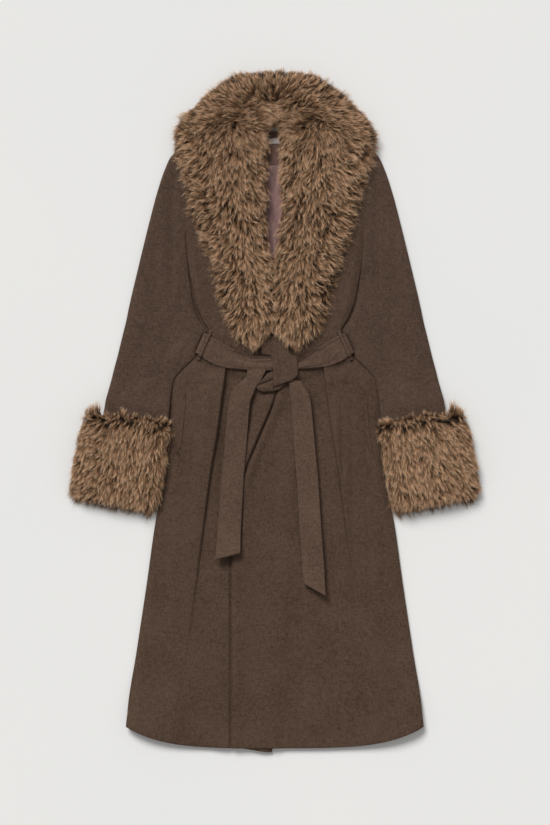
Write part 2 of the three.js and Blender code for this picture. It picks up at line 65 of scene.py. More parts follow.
def new_finish(name):
    """A material with its node tree and its shader."""
    finish = bpy.data.materials.new(name)
    finish.use_nodes = True
    tree = finish.node_tree
    return finish, tree, next(n for n in tree.nodes if n.type == "BSDF_PRINCIPLED")


def put(node, **settings):
    """Sets a node's inputs by name, with _ for each space."""
    for name, value in settings.items():
        node.inputs[name.replace("_", " ")].default_value = value


def grain(tree, scale, detail=2.0, rough=0.5, stretch=(1, 1, 1), turn=0.0):
    """A noise of that scale, for each metre, in the piece's own space."""
    place = tree.nodes.new("ShaderNodeTexCoord")
    move = tree.nodes.new("ShaderNodeMapping")
    put(move, Scale=stretch, Rotation=(0, 0, turn))
    noise = tree.nodes.new("ShaderNodeTexNoise")
    put(noise, Scale=scale, Detail=detail, Roughness=rough)
    tree.links.new(place.outputs["Object"], move.inputs["Vector"])
    tree.links.new(move.outputs["Vector"], noise.inputs["Vector"])
    return noise.outputs["Fac"]


def ramp(tree, value, stops):
    """Colours along a value: stops are (place, colour)."""
    node = tree.nodes.new("ShaderNodeValToRGB")
    while len(node.color_ramp.elements) < len(stops):
        node.color_ramp.elements.new(0.5)
    for element, (place, colour) in zip(node.color_ramp.elements, stops):
        element.position = place
        element.color = colour
    tree.links.new(value, node.inputs["Fac"])
    return node.outputs["Color"]


def relief(tree, shader, height, distance):
    """Raises the finish by a height from 0 to 1 times a distance in metres."""
    node = tree.nodes.new("ShaderNodeBump")
    put(node, Strength=1, Distance=distance)
    tree.links.new(height, node.inputs["Height"])
    tree.links.new(node.outputs["Normal"], shader.inputs["Normal"])


FLOOR_REACH = 50
FLOOR_Z = -0.0005
board, tree, shader = new_finish("pale_board")
pale = ramp(tree, grain(tree, 1.3), [(0.3, paint(240, 240, 239)), (0.7, paint(243, 242, 240))])
tree.links.new(pale, shader.inputs["Base Color"])
put(shader, Roughness=0.9, Specular_IOR_Level=0.1)
relief(tree, shader, grain(tree, 500), 0.0001)
floor_mesh = bpy.data.meshes.new("floor")
corners = [(FLOOR_REACH * x, FLOOR_REACH * y, FLOOR_Z) for x, y in ((-1, -1), (1, -1), (1, 1), (-1, 1))]
floor_mesh.from_pydata(corners, [], [(0, 1, 2, 3)])
floor_mesh.materials.append(board)
floor = bpy.data.objects.new("floor", floor_mesh)
scene.collection.objects.link(floor)

# ---- Light ----
# A bright white room with one wide soft light beyond the collar, a little to the right
# sleeve's side, so that shadows are soft and fall towards the hem.
scene.view_settings.view_transform = "Standard"
scene.world = bpy.data.worlds.new("room")
scene.world.use_nodes = True
put(scene.world.node_tree.nodes["Background"], Color=(1.0, 0.998, 0.99, 1), Strength=0.37)
lamp = bpy.data.lights.new("wide_light", "SUN")
lamp.energy = 2.46
lamp.angle = np.radians(26)
lamp.color = (1.0, 0.998, 0.992)
stand = bpy.data.objects.new("wide_light", lamp)
aim = np.array([-0.38, 0.86, 0.9])
stand.rotation_euler = (np.arctan2(np.hypot(aim[0], aim[1]), aim[2]), 0, np.arctan2(aim[0], -aim[1]))
scene.collection.objects.link(stand)

# ---- Back panel ----
# The back of the coat, one piece of wool coating about 2.5 mm thick, face down under
# everything else. Its side seams, hem and neck are the outline of the body.
CLOTH = 2.5
HEM_MID = -623.5
HEM_CURVE = 40.5
SHOULDER = 520.0
NECK_HALF, NECK_DIP = 62, 3.5
# Below and above these two levels the rows of points turn gradually to the hem's and the neck's curve.
LOW_LEVEL, HIGH_LEVEL = -560, 450
# The belt's middle line: its height at the centre back, and the place where it meets the side edge.
BELT_MID, BELT_CLIMB, SIDE_X = 87, 36.2, 134.75
SIDE_Y = BELT_MID + BELT_CLIMB

# Levels of the body: height, half width, the pleat's high line and low line, its rise, and
# the front edges of the right and the left front.
LEVELS = [
    (HEM_MID, 274.5, 190, 182, 0, -5, -79.5), (-560, 272, 186, 178, 0.6, -4, -79.5),
    (-440, 254.5, 165, 158, 1.3, 3, -79.5), (-320, 236.5, 148, 143, 3.6, 10, -79.5),
    (-210, 221, 133.5, 129.5, 6.6, 17, -79.5), (-110, 202, 120, 116.6, 9.4, 24, -51.6),
    (-40, 197, 108, 104.8, 11.0, 29, -23.3), (20, 192.5, 100, 97, 11.0, 32, 1),
    (55, 186, 95, 92, 11.0, 34, 8), (80, 166, 92, 89, 4, 36, 4),
    (100, 145.2, 90, 85, 0, 37, 0), (122, 135.3, 88, 82, 0, 36, -4),
    (146, 124.5, 88, 82, 0, 32, -6), (165, 138, 90, 82, 0, 26, -6),
    (200, 151.5, 96, 86, 0, 16, -8), (246, 158.2, 100, 88, 0, 0, -6),
    (300, 163.2, 104, 92, 0, -12, 6), (330, 166.6, 106, 94, 0, -16, 12),
    (400, 164.6, 110, 98, 0, -30, 24), (450, 162, 112, 100, 0, -45, 42),
    (SHOULDER, 160, 125, 110, 0, -62, 62),
]


def curve(known, wanted):
    """Values at the wanted places, on smooth curves through a table; its first column is the place."""
    rows = np.array(known, float)
    rows = rows[np.argsort(rows[:, 0])]
    x, y = rows[:, 0], rows[:, 1:]
    gap = np.diff(x)[:, None]
    rise = np.diff(y, axis=0) / gap
    slope = np.zeros_like(y)
    slope[0], slope[-1] = rise[0], rise[-1]
    before, after = 2 * gap[1:] + gap[:-1], gap[1:] + 2 * gap[:-1]
    with np.errstate(divide="ignore", invalid="ignore"):
        gentle = (before + after) / (before / rise[:-1] + after / rise[1:])
    slope[1:-1] = np.where(rise[:-1] * rise[1:] > 0, gentle, 0)
    wanted = np.asarray(wanted, float)
    i = np.clip(np.searchsorted(x, wanted) - 1, 0, len(x) - 2)
    t = ((wanted - x[i]) / gap[i, 0])[:, None]
    return ((1 + 2 * t) * (1 - t) ** 2 * y[i] + t * (1 - t) ** 2 * gap[i] * slope[i]
            + t * t * (3 - 2 * t) * y[i + 1] + t * t * (t - 1) * gap[i] * slope[i + 1])


def ease(value, start, end):
    """0 at start, 1 at end and smooth between."""
    t = np.clip((np.asarray(value, float) - start) / (end - start), 0, 1)
    return t * t * (3 - 2 * t)


def belt_line(x):
    """Height up the coat of the belt's middle line, behind the back."""
    return BELT_MID + BELT_CLIMB * (np.abs(x) / SIDE_X) ** 2.5


def belt_lift(x, y):
    """How far the belt's back stretch lifts the layers that lie on it."""
    off = np.asarray(y, float) - belt_line(np.minimum(np.abs(x), 140))
    return 4.8 * ease(off, -33, -21.5) * (1 - ease(off, 22, 52))


def real_y(level, x):
    """Places on the lowest and the highest level follow the curved hem and the sloped shoulder and neck."""
    hem = HEM_MID + HEM_CURVE * np.abs(x / LEVELS[0][1]) ** 4
    out = np.abs(x)
    neck = SHOULDER - NECK_DIP * (1 - (out / NECK_HALF) ** 2)
    top = np.where(out < NECK_HALF, neck, SHOULDER - 0.367 * (out - NECK_HALF))
    low = np.clip((LOW_LEVEL - level) / (LOW_LEVEL - HEM_MID), 0, 1)
    high = np.clip((level - HIGH_LEVEL) / (SHOULDER - HIGH_LEVEL), 0, 1)
    y = np.where(level > HIGH_LEVEL, HIGH_LEVEL + high * (top - HIGH_LEVEL), level)
    return np.where(level < LOW_LEVEL, LOW_LEVEL + low * (hem - LOW_LEVEL), y)


def corner_curl(x, y):
    """The hem's corners lift off the surface."""
    return 10.5 * ease(np.abs(x), 120, 262) * ease(-y, 470, 600)


def quads(index, wrap=False):
    """Faces of a grid of point numbers."""
    if wrap:
        index = np.concatenate([index, index[:, :1]], axis=1)
    return np.stack([index[:-1, :-1], index[:-1, 1:], index[1:, 1:], index[1:, :-1]], -1).reshape(-1, 4)


def rim(index):
    """The point numbers around the edge of a grid, in order."""
    return np.r_[index[0, :-1], index[:-1, -1], index[-1, :0:-1], index[:0:-1, 0]]


def on_coat(name, mesh, finish):
    """A smooth piece on the coat's body, from its mesh."""
    mesh.shade_smooth()
    mesh.materials.append(finish)
    piece = bpy.data.objects.new(name, mesh)
    scene.collection.objects.link(piece)
    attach(piece, "root")
    return piece


def make_piece(name, points, faces, finish, node=None):
    """A piece from lists of points in millimetres and of faces, which are turned to face out."""
    points, faces = np.concatenate(points), np.concatenate(faces)
    a, b, c, d = (points[faces[:, i]] for i in range(4))
    if (a * (np.cross(b, c) + np.cross(c, d))).sum() < 0:
        faces = faces[:, ::-1]
    mesh = bpy.data.meshes.new(name)
    mesh.from_pydata((points * 0.001).tolist(), [], faces.tolist())
    piece = on_coat(name, mesh, finish)
    if node:
        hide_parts(node)
    return piece


def layer(name, middle, thick, finish, node=None):
    """A closed sheet around a grid of middle points, with half-round edges."""
    rows, columns = middle.shape[:2]
    normal = np.cross(np.gradient(middle, axis=1), np.gradient(middle, axis=0))
    normal /= np.linalg.norm(normal, axis=-1, keepdims=True) + 1e-12
    turned = normal[0, columns // 2, 2] < 0
    normal = (-normal if turned else normal).reshape(-1, 3)
    half = np.broadcast_to(np.asarray(thick, float) / 2, (rows, columns)).reshape(-1, 1)
    index = np.arange(rows * columns).reshape(rows, columns)
    loop = rim(index)
    base = middle.reshape(-1, 3).copy()
    out = np.cross(base[np.roll(loop, -1)] - base[np.roll(loop, 1)], normal[loop])
    out /= np.linalg.norm(out, axis=-1, keepdims=True) + 1e-12
    out = -out if turned else out
    base[loop] -= out * half[loop]
    rounds = [base[loop] + half[loop] * (out * np.cos(angle) + normal[loop] * np.sin(angle))
              for angle in (0.9, 0.32, -0.32, -0.9)]
    points = [base + normal * half, base - normal * half, *rounds]
    under = rows * columns
    chain = [2 * under + k * len(loop) + np.arange(len(loop)) for k in range(len(rounds))]
    chain = [loop, *chain, under + loop]
    faces = [quads(index), quads(index + under)[:, ::-1]]
    faces += [quads(np.stack([low, high]), wrap=True) for high, low in zip(chain, chain[1:])]
    return make_piece(name, points, faces, finish, node)


def weighted(tree, start, *parts):
    """Values added up, each times its weight, on top of a start."""
    total = None
    for value, weight in parts:
        node = tree.nodes.new("ShaderNodeMath")
        node.operation = "MULTIPLY_ADD"
        tree.links.new(value, node.inputs[0])
        node.inputs[1].default_value, node.inputs[2].default_value = weight, start
        if total:
            tree.links.new(total, node.inputs[2])
        total = node.outputs[0]
    return total


def range_of(tree, value, low, high, to_low, to_high):
    """value from low..high moved to to_low..to_high."""
    node = tree.nodes.new("ShaderNodeMapRange")
    put(node, From_Min=low, From_Max=high, To_Min=to_low, To_Max=to_high)
    tree.links.new(value, node.inputs["Value"])
    return node.outputs["Result"]


def tint(tree, shader, value, stops, rough_low, rough_high):
    """Colours along a value, and roughness from its usual low to its usual high."""
    tree.links.new(ramp(tree, value, stops), shader.inputs["Base Color"])
    tree.links.new(range_of(tree, value, 0.3, 0.7, rough_low, rough_high), shader.inputs["Roughness"])


def wool(name, dark, light):
    """Melton wool: two shades of fibre mixed in the yarn, a faint weave, and a short fuzzy nap."""
    finish, tree, shader = new_finish(name)
    fibre = grain(tree, 760, 3, 0.75)
    yarn = grain(tree, 330, 2, 0.6, (1, 0.35, 1))
    cross_yarn = grain(tree, 330, 2, 0.6, (0.35, 1, 1))
    broad = grain(tree, 14, 3, 0.6)
    mixed = weighted(tree, -0.06, (fibre, 0.6), (yarn, 0.2), (cross_yarn, 0.2), (broad, 0.12))
    middle = tuple((a + b) / 2 for a, b in zip(dark, light))
    tint(tree, shader, mixed, [(0.37, dark), (0.5, middle), (0.63, light)], 0.98, 0.8)
    put(shader, Specular_IOR_Level=0.15, Sheen_Weight=0.06, Sheen_Roughness=0.5,
        Sheen_Tint=paint(190, 165, 145))
    relief(tree, shader, mixed, 0.0016)
    return finish


body_wool = wool("body_wool", paint(58, 43, 34), paint(103, 82, 68))
back_levels = np.unique(np.r_[
    np.linspace(HEM_MID, -600, 7), np.arange(-592, HIGH_LEVEL, 9), np.linspace(HIGH_LEVEL, SHOULDER, 10)])
spread = curve(LEVELS, back_levels)
part = np.sin(np.linspace(-np.pi / 2, np.pi / 2, 56)) * 0.5 + np.linspace(-0.5, 0.5, 56)
x = part[None, :] * spread[:, :1]
y = real_y(back_levels[:, None], x)
middle = np.stack([x, y, belt_lift(x, y) + corner_curl(x, y) + CLOTH / 2], -1)
back = layer("back_panel", middle, CLOTH, body_wool, "back")

# ---- Belt behind the back ----
# The belt's middle stretch, two layers of the same wool sewn into a flat band 41 mm wide,
# which passes between the back and the surface and lifts the coat a little there.
BELT_WIDE = 41.0
BELT_THICK = 4.2
# The belt's copy of the coat's wool is painted lighter than the body's: painted light for the raised belt and
# its hanging ends.
lit_belt_wool = wool("lit_belt_wool", paint(65, 49, 40), paint(114, 91, 77))


def run_along(points):
    """How far along a line of points each one lies."""
    return np.r_[0, np.cumsum(np.linalg.norm(np.diff(points, axis=0), axis=1))]


def band(stations, width, step=4.0, across=11):
    """A grid of middle points for a flat strap: stations are (x, y, z, heading in radians)."""
    rows = np.array(stations, float)
    width = np.broadcast_to(np.asarray(width, float), (len(rows),))
    run = run_along(rows[:, :3])
    table = np.column_stack([run, rows, width])
    at = np.unique(np.r_[run, np.linspace(0, run[-1], max(3, int(run[-1] / step)))])
    at = at[np.r_[True, np.diff(at) > 0.7]]
    x, y, z, turn, wide = curve(table, at).T
    side = np.linspace(-0.5, 0.5, across)[None, :] * wide[:, None]
    x, y, z, turn = (v[:, None] for v in (x, y, z, turn))
    return np.stack([x - np.sin(turn) * side, y + np.cos(turn) * side, z + 0 * side], -1)


x = np.linspace(-116, 116, 17)
heading = np.arctan(np.sign(x) * 2.5 * BELT_CLIMB / SIDE_X * (np.abs(x) / SIDE_X) ** 1.5)
rows = np.column_stack([x, belt_line(x), np.full(len(x), BELT_THICK / 2), heading])
belt_back = layer("belt_behind", band(rows, BELT_WIDE), BELT_THICK, lit_belt_wool, "belt_back")

# ---- Back lining ----
# Dusty mauve viscose twill, sewn to the facing at the neck and hanging free above the hem.
# It shows only between the lapels.
def bump(value, middle, width):
    """1 at the middle and falling off softly on both sides."""
    return np.exp(-((value - middle) / width) ** 2)


# The gap that is left between layers of cloth, and the lining's thickness.
SEAM = 0.3
LINING = 1.0
lining_finish, tree, shader = new_finish("lining_twill")
twill = grain(tree, 900, 2, 0.5, (1, 0.12, 1), 0.8)
soft = grain(tree, 26, 3, 0.6, (1.6, 0.3, 1))
cloudy = weighted(tree, 0, (twill, 0.35), (soft, 0.65))
mauve = [(0.34, paint(96, 68, 65)), (0.5, paint(132, 98, 93)), (0.64, paint(160, 124, 118))]
tint(tree, shader, cloudy, mauve, 0.55, 0.4)
put(shader, Sheen_Weight=0.2, Specular_IOR_Level=0.45)
relief(tree, shader, twill, 0.0003)
LINING_TOP = 453.5
LINING_SHORTER = 25
lining_levels = np.r_[HEM_MID, np.arange(-585, HIGH_LEVEL, 11), LINING_TOP]
half = [(level[0], level[1] - 16) for level in LEVELS if level[0] < 440] + [(LINING_TOP, 140)]
x = np.linspace(-1, 1, 61)[None, :] * curve(half, lining_levels)
level = lining_levels[:, None] + 0 * x
y = real_y(level, x) + LINING_SHORTER * ease(-level, -LOW_LEVEL, -HEM_MID)
gathers = 0.3 * bump(x, 3, 3) * ease(y, 250, 330) + 0.21 * bump(x, -9, 4) * ease(y, 270, 360)
z = belt_lift(x, y) + corner_curl(x, y) + CLOTH + SEAM + LINING / 2 + gathers
lining = layer("back_lining_twill", np.stack([x, y, z], -1), LINING, lining_finish, "back_lining")

# ---- Back neck facing and its label ----
# A strip of the coat's wool inside the back neck, and on it a blank woven ribbon label
# held by a few stitches at each end.
rows = curve([(0, 453.8, 92), (0.45, 485, 80), (1, SHOULDER, NECK_HALF)], np.linspace(0, 1, 16))
level = rows[:, :1]
x = np.linspace(-1, 1, 31)[None, :] * rows[:, 1:]
t = ease(level, 485, SHOULDER)
top = SHOULDER - NECK_DIP * (1 - np.clip(np.abs(x) / NECK_HALF, 0, 1) ** 2)
y = level * (1 - t) + t * np.minimum(top, level + 8)
# The facing's wool is painted paler than the body's: painted light in the deep shade under the collar.
lit_facing_wool = wool("lit_facing_wool", paint(92, 68, 60), paint(140, 110, 100))
middle = np.stack([x, y, 0 * x + CLOTH + SEAM + LINING / 2], -1)
facing = layer("neck_facing_strip", middle, LINING, lit_facing_wool, "neck_facing")

ribbon, tree, shader = new_finish("label_ribbon")
weft = grain(tree, 1500, 1, 0.5, (0.2, 1, 1))
tint(tree, shader, weft, [(0.3, paint(165, 156, 150)), (0.7, paint(206, 196, 190))], 0.6, 0.45)
put(shader, Sheen_Weight=0.3)
relief(tree, shader, weft, 0.0002)
x, y = np.meshgrid(np.linspace(-26, 22, 25), np.linspace(493, 503, 7))
middle = np.stack([x, y, 4.5 + 0.15 * np.sin((x + 26) * 0.4)], -1)
label = layer("blank_label", middle, 0.7, ribbon, "neck_label")


# ---- Fronts ----
# Right and left front of the same wool, the left lapped over the right. The belt draws each
# in, so that an unpressed pleat stands up below it and softer folds run on to the hem.
# The undersides of the right front and of the left one's lap.
FRONT_LOW = CLOTH + SEAM + LINING + SEAM
WRAP_LOW = FRONT_LOW + CLOTH + 2 * SEAM


def soft_folds(x, y, folds):
    """Height of soft ridges and troughs: each is (x, y) to (x, y), half width, height."""
    total = np.zeros(np.broadcast(x, y).shape)
    for x0, y0, x1, y1, width, height in folds:
        ax, ay = x1 - x0, y1 - y0
        long = ax * ax + ay * ay
        t = ((x - x0) * ax + (y - y0) * ay) / long
        off = ((x - x0) * ay - (y - y0) * ax) / np.sqrt(long)
        ends = ease(t, -0.16, 0.22) * (1 - ease(t, 0.72, 1.16))
        total = total + height * ends * bump(off, 0, width)
    return total


RIGHT_FOLDS = [
    (-188, -214, -186, -400, 9, 2), (-152, -40, -162, -260, 11, -2), (-176, 10, -178, -150, 9, 1.2),
    (-150, -64, -150, -166, 5, -1.6), (-139, 66, -131, 44, 4, -1.6), (-133, 104, -120, 70, 4.5, -1.4),
    (-128, 20, -134, -110, 9, 1.4), (-139, 53, -139, 40, 7, -2.2), (-118, -160, -135, -430, 15, -1.7),
    (-225, -360, -236, -560, 14, -1.5), (-100, -330, -112, -600, 16, 1.4),
    (-218, -306, -176, -305, 4, -1), (-60, -250, -58, -520, 14, -1.1), (-150, 250, -128, 150, 8, 1.3),
    (-83, 68, -80, 34, 8, -4.5), (-163, 300, -150, 200, 6, -1.2), (-118, 60, -112, -20, 5, -1.1),
    (-250, -520, -215, -600, 12, 1.1), (-226, -300, -214, -200, 6, -1),
    (-42.5, 26, -53.5, -105, 4.2, -4.5), (-94, -250, -91, -296, 13, -4.4),
    (-94, -34, -105, -226, 6, -3.2), (-112, -420, -150, -600, 11, -1), (-180, -430, -196, -590, 12, 1),
]
LEFT_FOLDS = [
    (122, 26, 125, -140, 4.2, -2.4), (113, 20, 116, -110, 6, 1.4), (137, -20, 150, -330, 13, -1.9),
    (190, -214, 191, -400, 9, 2), (137, 66, 130, 42, 4, -1.6), (131, 104, 119, 68, 4.5, -1.4),
    (150, 36, 158, -110, 9, 1.4), (138, 53, 138, 40, 7, -2.2), (82, 40, 84, -90, 8, -1.8),
    (97, 30, 100, -80, 6, 1), (141, -96, 148, -330, 6, -1.3), (92, -60, 108, -420, 13, -1.3),
    (222, -340, 236, -560, 14, -1.5), (120, -300, 142, -600, 16, 1.4), (206, -306, 170, -307, 4, -1),
    (30, -240, 26, -560, 18, 1.1), (-40, -250, -44, -560, 12, -1), (-16, -60, -22, -200, 9, 1),
    (4, -90, -4, -230, 6, -0.9), (150, 250, 128, 150, 8, 1.3), (163, 300, 150, 200, 6, -1.2),
    (62, -330, 70, -540, 12, 1), (250, -520, 215, -600, 12, 1.1), (-56.5, -118, -67, -262, 4.2, -3.4),
    (66, 30, 74, -34, 4.2, -4.2), (74, -34, 82, -124, 4.2, -3.8), (82, -124, 96.5, -330, 4.2, -3),
    (160, -430, 176, -590, 11, -1.1), (0, -420, 8, -600, 9, -0.8),
]
front_levels = np.unique(np.r_[
    np.linspace(HEM_MID, -600, 9), np.arange(-595, HIGH_LEVEL, 5), np.linspace(HIGH_LEVEL, SHOULDER, 14)])
body_lines = curve(LEVELS, front_levels)


def front(name, sign, folds, steps, node):
    """One front from its side seam to its front edge; sign is -1 for the right front."""
    side, crest, trough, pleat, right_edge, left_edge = (body_lines[:, i:i + 1] for i in range(6))
    # Out towards the side is positive here, whichever front it is.
    edge = left_edge if sign > 0 else -right_edge
    beside_sleeve = ease(front_levels[:, None], 138, 160) * (1 - ease(front_levels[:, None], 185, 300))
    side = side - 5 * beside_sleeve
    over = edge + 9 if sign > 0 else np.maximum(9 - left_edge, edge + 16)
    to_crest = np.r_[0, 0.022, 0.05, np.linspace(0.09, 0.9, 19), 0.94, 0.97, 0.985, 1]
    to_trough, to_over, to_edge = (np.linspace(0, 1, count + 1)[1:] for count in (5, steps, 9))
    spans = [side + (crest - side) * to_crest, crest + (trough - crest) * to_trough,
             trough + (over - trough) * to_over]
    if sign > 0:
        spans += [over - 9 * to_edge]
    else:
        spans += [over - 10 * to_edge, over - 10 + (edge - over + 10) * to_edge]
    out = np.concatenate(spans, axis=1)
    x = sign * out
    level = front_levels[:, None] + 0 * x
    y = real_y(level, x)
    if sign < 0:
        y = y - 8 * ease(-level, 540, -HEM_MID) * ease(x, -70, -5)
    climb = ease((side - out) / (side - crest), 0.15, 1.02) ** 1.3
    rise = np.where(out >= crest, climb, 1 - ease(out, crest, trough)) * pleat
    roll = (1.3 + 1.4 * bump(level, 190, 40)) * np.clip(1 - (side - out) / 10, 0, 1) ** 2
    roll = roll * (1 - ease(level, 312, 335))
    quiet = ease(side - out, 0, 16) * (1 - ease(y, 330, 420)) * ease(out - edge, 0, 14)
    belt_zone = ease(y, 64, 74) * (1 - ease(y, 128, 142)) * (1 - ease(out, 118, 128))
    soft = np.maximum(soft_folds(x, y, folds) + 3, -0.2) * quiet * (1 - belt_zone)
    below_belt = 1 - ease(y, 20, 60)
    if sign > 0:
        # The left front climbs over the right one's edge, and its own edge stands a little proud.
        step, foot = np.maximum(right_edge + 4, edge + 8), np.maximum(right_edge + 26, edge + 24)
        lap = (WRAP_LOW - FRONT_LOW) * (1 - ease(out, step, foot))
        lap += (1.8 + 1.8 * ease(y, -230, -150) * below_belt) * (1 - ease(out - edge, 6, 22)) * below_belt
    else:
        beside = out + left_edge
        lap = ease(beside, 2.2, 6.5) * (1 - ease(beside, 12, 44)) * (1 - ease(y, 14, 40))
        lap = lap * (2.8 + 4.4 * ease(y, -230, -150))
    at_sleeve = (1.9 * ease(level, 318, 345) + 2.2 * beside_sleeve) * ease(out, side - 30, side - 4)
    at_collar = 1.3 * ease(level, 470, SHOULDER) * ease(out, 100, 118)
    hem_turn = 0.5 * bump(y, real_y(HEM_MID + 0 * x, x) + 9, 7)
    z = FRONT_LOW + belt_lift(x, y) + rise - roll + soft + lap + at_sleeve - at_collar + hem_turn
    thick = CLOTH + (1.5 * (1 - ease(out - edge, 4, 14)) if sign > 0 else 0)
    return layer(name, np.stack([x, y, z + corner_curl(x, y) + thick / 2], -1), thick, body_wool, node)


front_right = front("right_front", -1, RIGHT_FOLDS, 14, "front_right")
front_left = front("left_front", 1, LEFT_FOLDS, 46, "front_left")

# ---- Pocket mouths ----
# The turned edges of the in-seam side pockets, a narrow lip of wool along each side seam
# below the belt.
SIDES = (("right", -1), ("left", 1))
for hand, sign in SIDES:
    line = np.array([(166, 32), (168, 10), (170, -15), (175.5, -62), (181, -80)], float)
    at = curve(np.column_stack([np.arange(5), line]), np.linspace(0, 4, 30))
    heading = np.arctan2(np.gradient(at[:, 1]), sign * np.gradient(at[:, 0]))
    cloth = np.array([v.co for v in (front_right if sign < 0 else front_left).data.vertices]) * 1000
    rows = []
    for (x, y), turn in zip(at, heading):
        near = np.hypot(cloth[:, 0] - sign * x, cloth[:, 1] - y) < 5
        rows.append((sign * x, y, cloth[near, 2].max() + 0.6, turn))
    taper = 5.6 * np.minimum(1, 0.25 + np.sin(np.linspace(0, np.pi, 30)) * 1.3)
    lip = layer(f"pocket_lip_{hand}", band(rows, taper, 4, 7), 1.2, body_wool, f"pocket_edge_{hand}")

# ---- Sleeves ----
# Two-piece sleeves of the same wool, laid flat as double-layer tubes beside the body, with
# a soft ridge down the middle and folds where they hang from the armhole.
sleeve_wool = wool("sleeve_wool", paint(58, 43, 35), paint(102, 82, 69))
# Rings from the shoulder down: (x, y) at the body, (x, y) at the outer side, height.
SLEEVE_RINGS = [
    (171.6, 329, 160.6, 483.5, 0), (171.8, 327, 176, 481, 0), (171.9, 324, 191, 470, 0),
    (170.5, 319, 202, 448, 0), (165, 308, 218, 400, 0), (162.4, 298, 231.2, 350, 0),
    (157.2, 246, 254.1, 256, 0), (152.2, 200, 268.4, 195, 0), (138.8, 165, 275, 163, 0),
    (131.6, 146, 279.3, 146, 0), (141.6, 122, 285.2, 122, 0), (151.6, 100, 290.5, 100, 0),
    (166.9, 80, 296, 80, 0), (186.9, 55, 302.2, 55, 1), (193.3, 22, 308.4, 32, 5),
]
SLEEVE_TALL = 8.6
CUFF_TURN = np.radians(11)


def cuff_place(along, across):
    """A place along and across the left cuff; the right one is its mirror."""
    return (268.5 + along * np.sin(CUFF_TURN) + across * np.cos(CUFF_TURN),
            3 - along * np.cos(CUFF_TURN) + across * np.sin(CUFF_TURN))


SLEEVE_FOLDS = [
    (226, 385, 262, 70, 16, 2.2), (188, 440, 188, 225, 8, -2.2), (208, 400, 207, 200, 9, 1.2),
    (172, 300, 172, 170, 6, -1.2), (252, 320, 284, 110, 8, -1.2), (196, 160, 216, 20, 9, -1.7),
    (232, 120, 250, 10, 8, 1.2), (160, 140, 196, 70, 7, 1.1), (200, 462, 232, 380, 8, 0.8),
    (176, 130, 200, 110, 5, -1.2), (262, 60, 296, 20, 7, -1.1), (184, 462, 178, 478, 6, -2),
    (166, 250, 124, 140, 6, -3), (240, 260, 268, 210, 5, -0.8), (186, 210, 222, 180, 5, -0.9),
    (206, 70, 258, 52, 5, -0.9),
]


def tube(name, outer, inner, finish, node):
    """A closed tube with walls from outer and inner rings, each an array of rings by points."""
    rings, around = outer.shape[:2]
    a = np.arange(rings * around).reshape(rings, around)
    b = a + rings * around
    faces = [quads(a, True), quads(b, True)[:, ::-1], quads(np.stack([b[0], a[0]]), True),
             quads(np.stack([a[-1], b[-1]]), True)]
    return make_piece(name, [outer.reshape(-1, 3), inner.reshape(-1, 3)], faces, finish, node)


rows = list(SLEEVE_RINGS)
for along, inner_across, outer_across in ((-6, -70, 45.5), (6, -68, 45), (20, -66, 45), (40, -62, 44)):
    rows.append((*cuff_place(along, inner_across), *cuff_place(along, outer_across), 8))
rows = np.array(rows, float)
run = run_along((rows[:, :2] + rows[:, 2:4]) / 2)
at = np.unique(np.r_[run, np.linspace(0, run[-1], 100)])
rings = curve(np.column_stack([run, rows]), at)
# The inner edge follows the body's side, and steps out around the belt where that turns under.
at_body = rings[:, 1]
beside = curve([level[:2] for level in LEVELS], at_body)[:, 0] - 0.8
off = at_body - SIDE_Y
round_belt = np.where(np.abs(off) < 19.6, SIDE_X + 4.95 - 0.452 * off - 3 * ease(-off, 13, 18), 0)
rings[:, 0] = np.where(at_body > -26, np.maximum(beside, round_belt), rings[:, 0])
rings[:, 0] -= 1.5 * ease(at_body, 300, 322)
crossing = np.linspace(-0.65, 0.65, 39) - np.cos(np.linspace(0, np.pi, 39)) * 0.35
top_half = np.clip(1 - np.abs(crossing) ** 14, 0, 1) ** 0.5
around = np.r_[crossing, crossing[-2:0:-1]]
rise = np.r_[0.5 + 0.5 * top_half, (0.5 - 0.5 * top_half)[-2:0:-1]]


def ring_points(sign, place, low, tall, folds):
    """Rings of points around a sleeve: place is across it, from -1 at the body to 1."""
    t = (place[None, :] + 1) / 2
    x = rings[:, :1] * (1 - t) + rings[:, 2:3] * t
    y = rings[:, 1:2] * (1 - t) + rings[:, 3:4] * t
    soft = np.maximum(soft_folds(x, y, folds), -2.4)
    soft = soft * np.clip(rise[None, :] * 2 - 1, 0, 1) * ease(y, -10, 24)
    return np.stack([sign * x, y, rings[:, 4:5] + low + tall * rise[None, :] + soft], -1)


for hand, sign in SIDES:
    outer = ring_points(sign, around, 0, SLEEVE_TALL, SLEEVE_FOLDS)
    inner = ring_points(sign, around * 0.97, CLOTH, SLEEVE_TALL - 2 * CLOTH, [])
    sleeve = tube(f"{hand}_sleeve", outer, inner, sleeve_wool, f"sleeve_{hand}")

# ---- Belt in front ----
# The belt from the knot out to each side, over the fronts and through a side loop, then
# around the side edge of the body and in under the back. The knot pulls it narrow.
def spanned(edges, step, across):
    """A grid between a left and a right edge: rows of (x, y, z, x, y, z)."""
    rows = np.array(edges, float)
    run = run_along((rows[:, :3] + rows[:, 3:]) / 2)
    at = np.linspace(0, run[-1], max(6, int(run[-1] / step)))
    table = curve(np.column_stack([run, rows]), at)
    t = np.linspace(0, 1, across)[None, :, None]
    return table[:, None, :3] * (1 - t) + table[:, None, 3:] * t


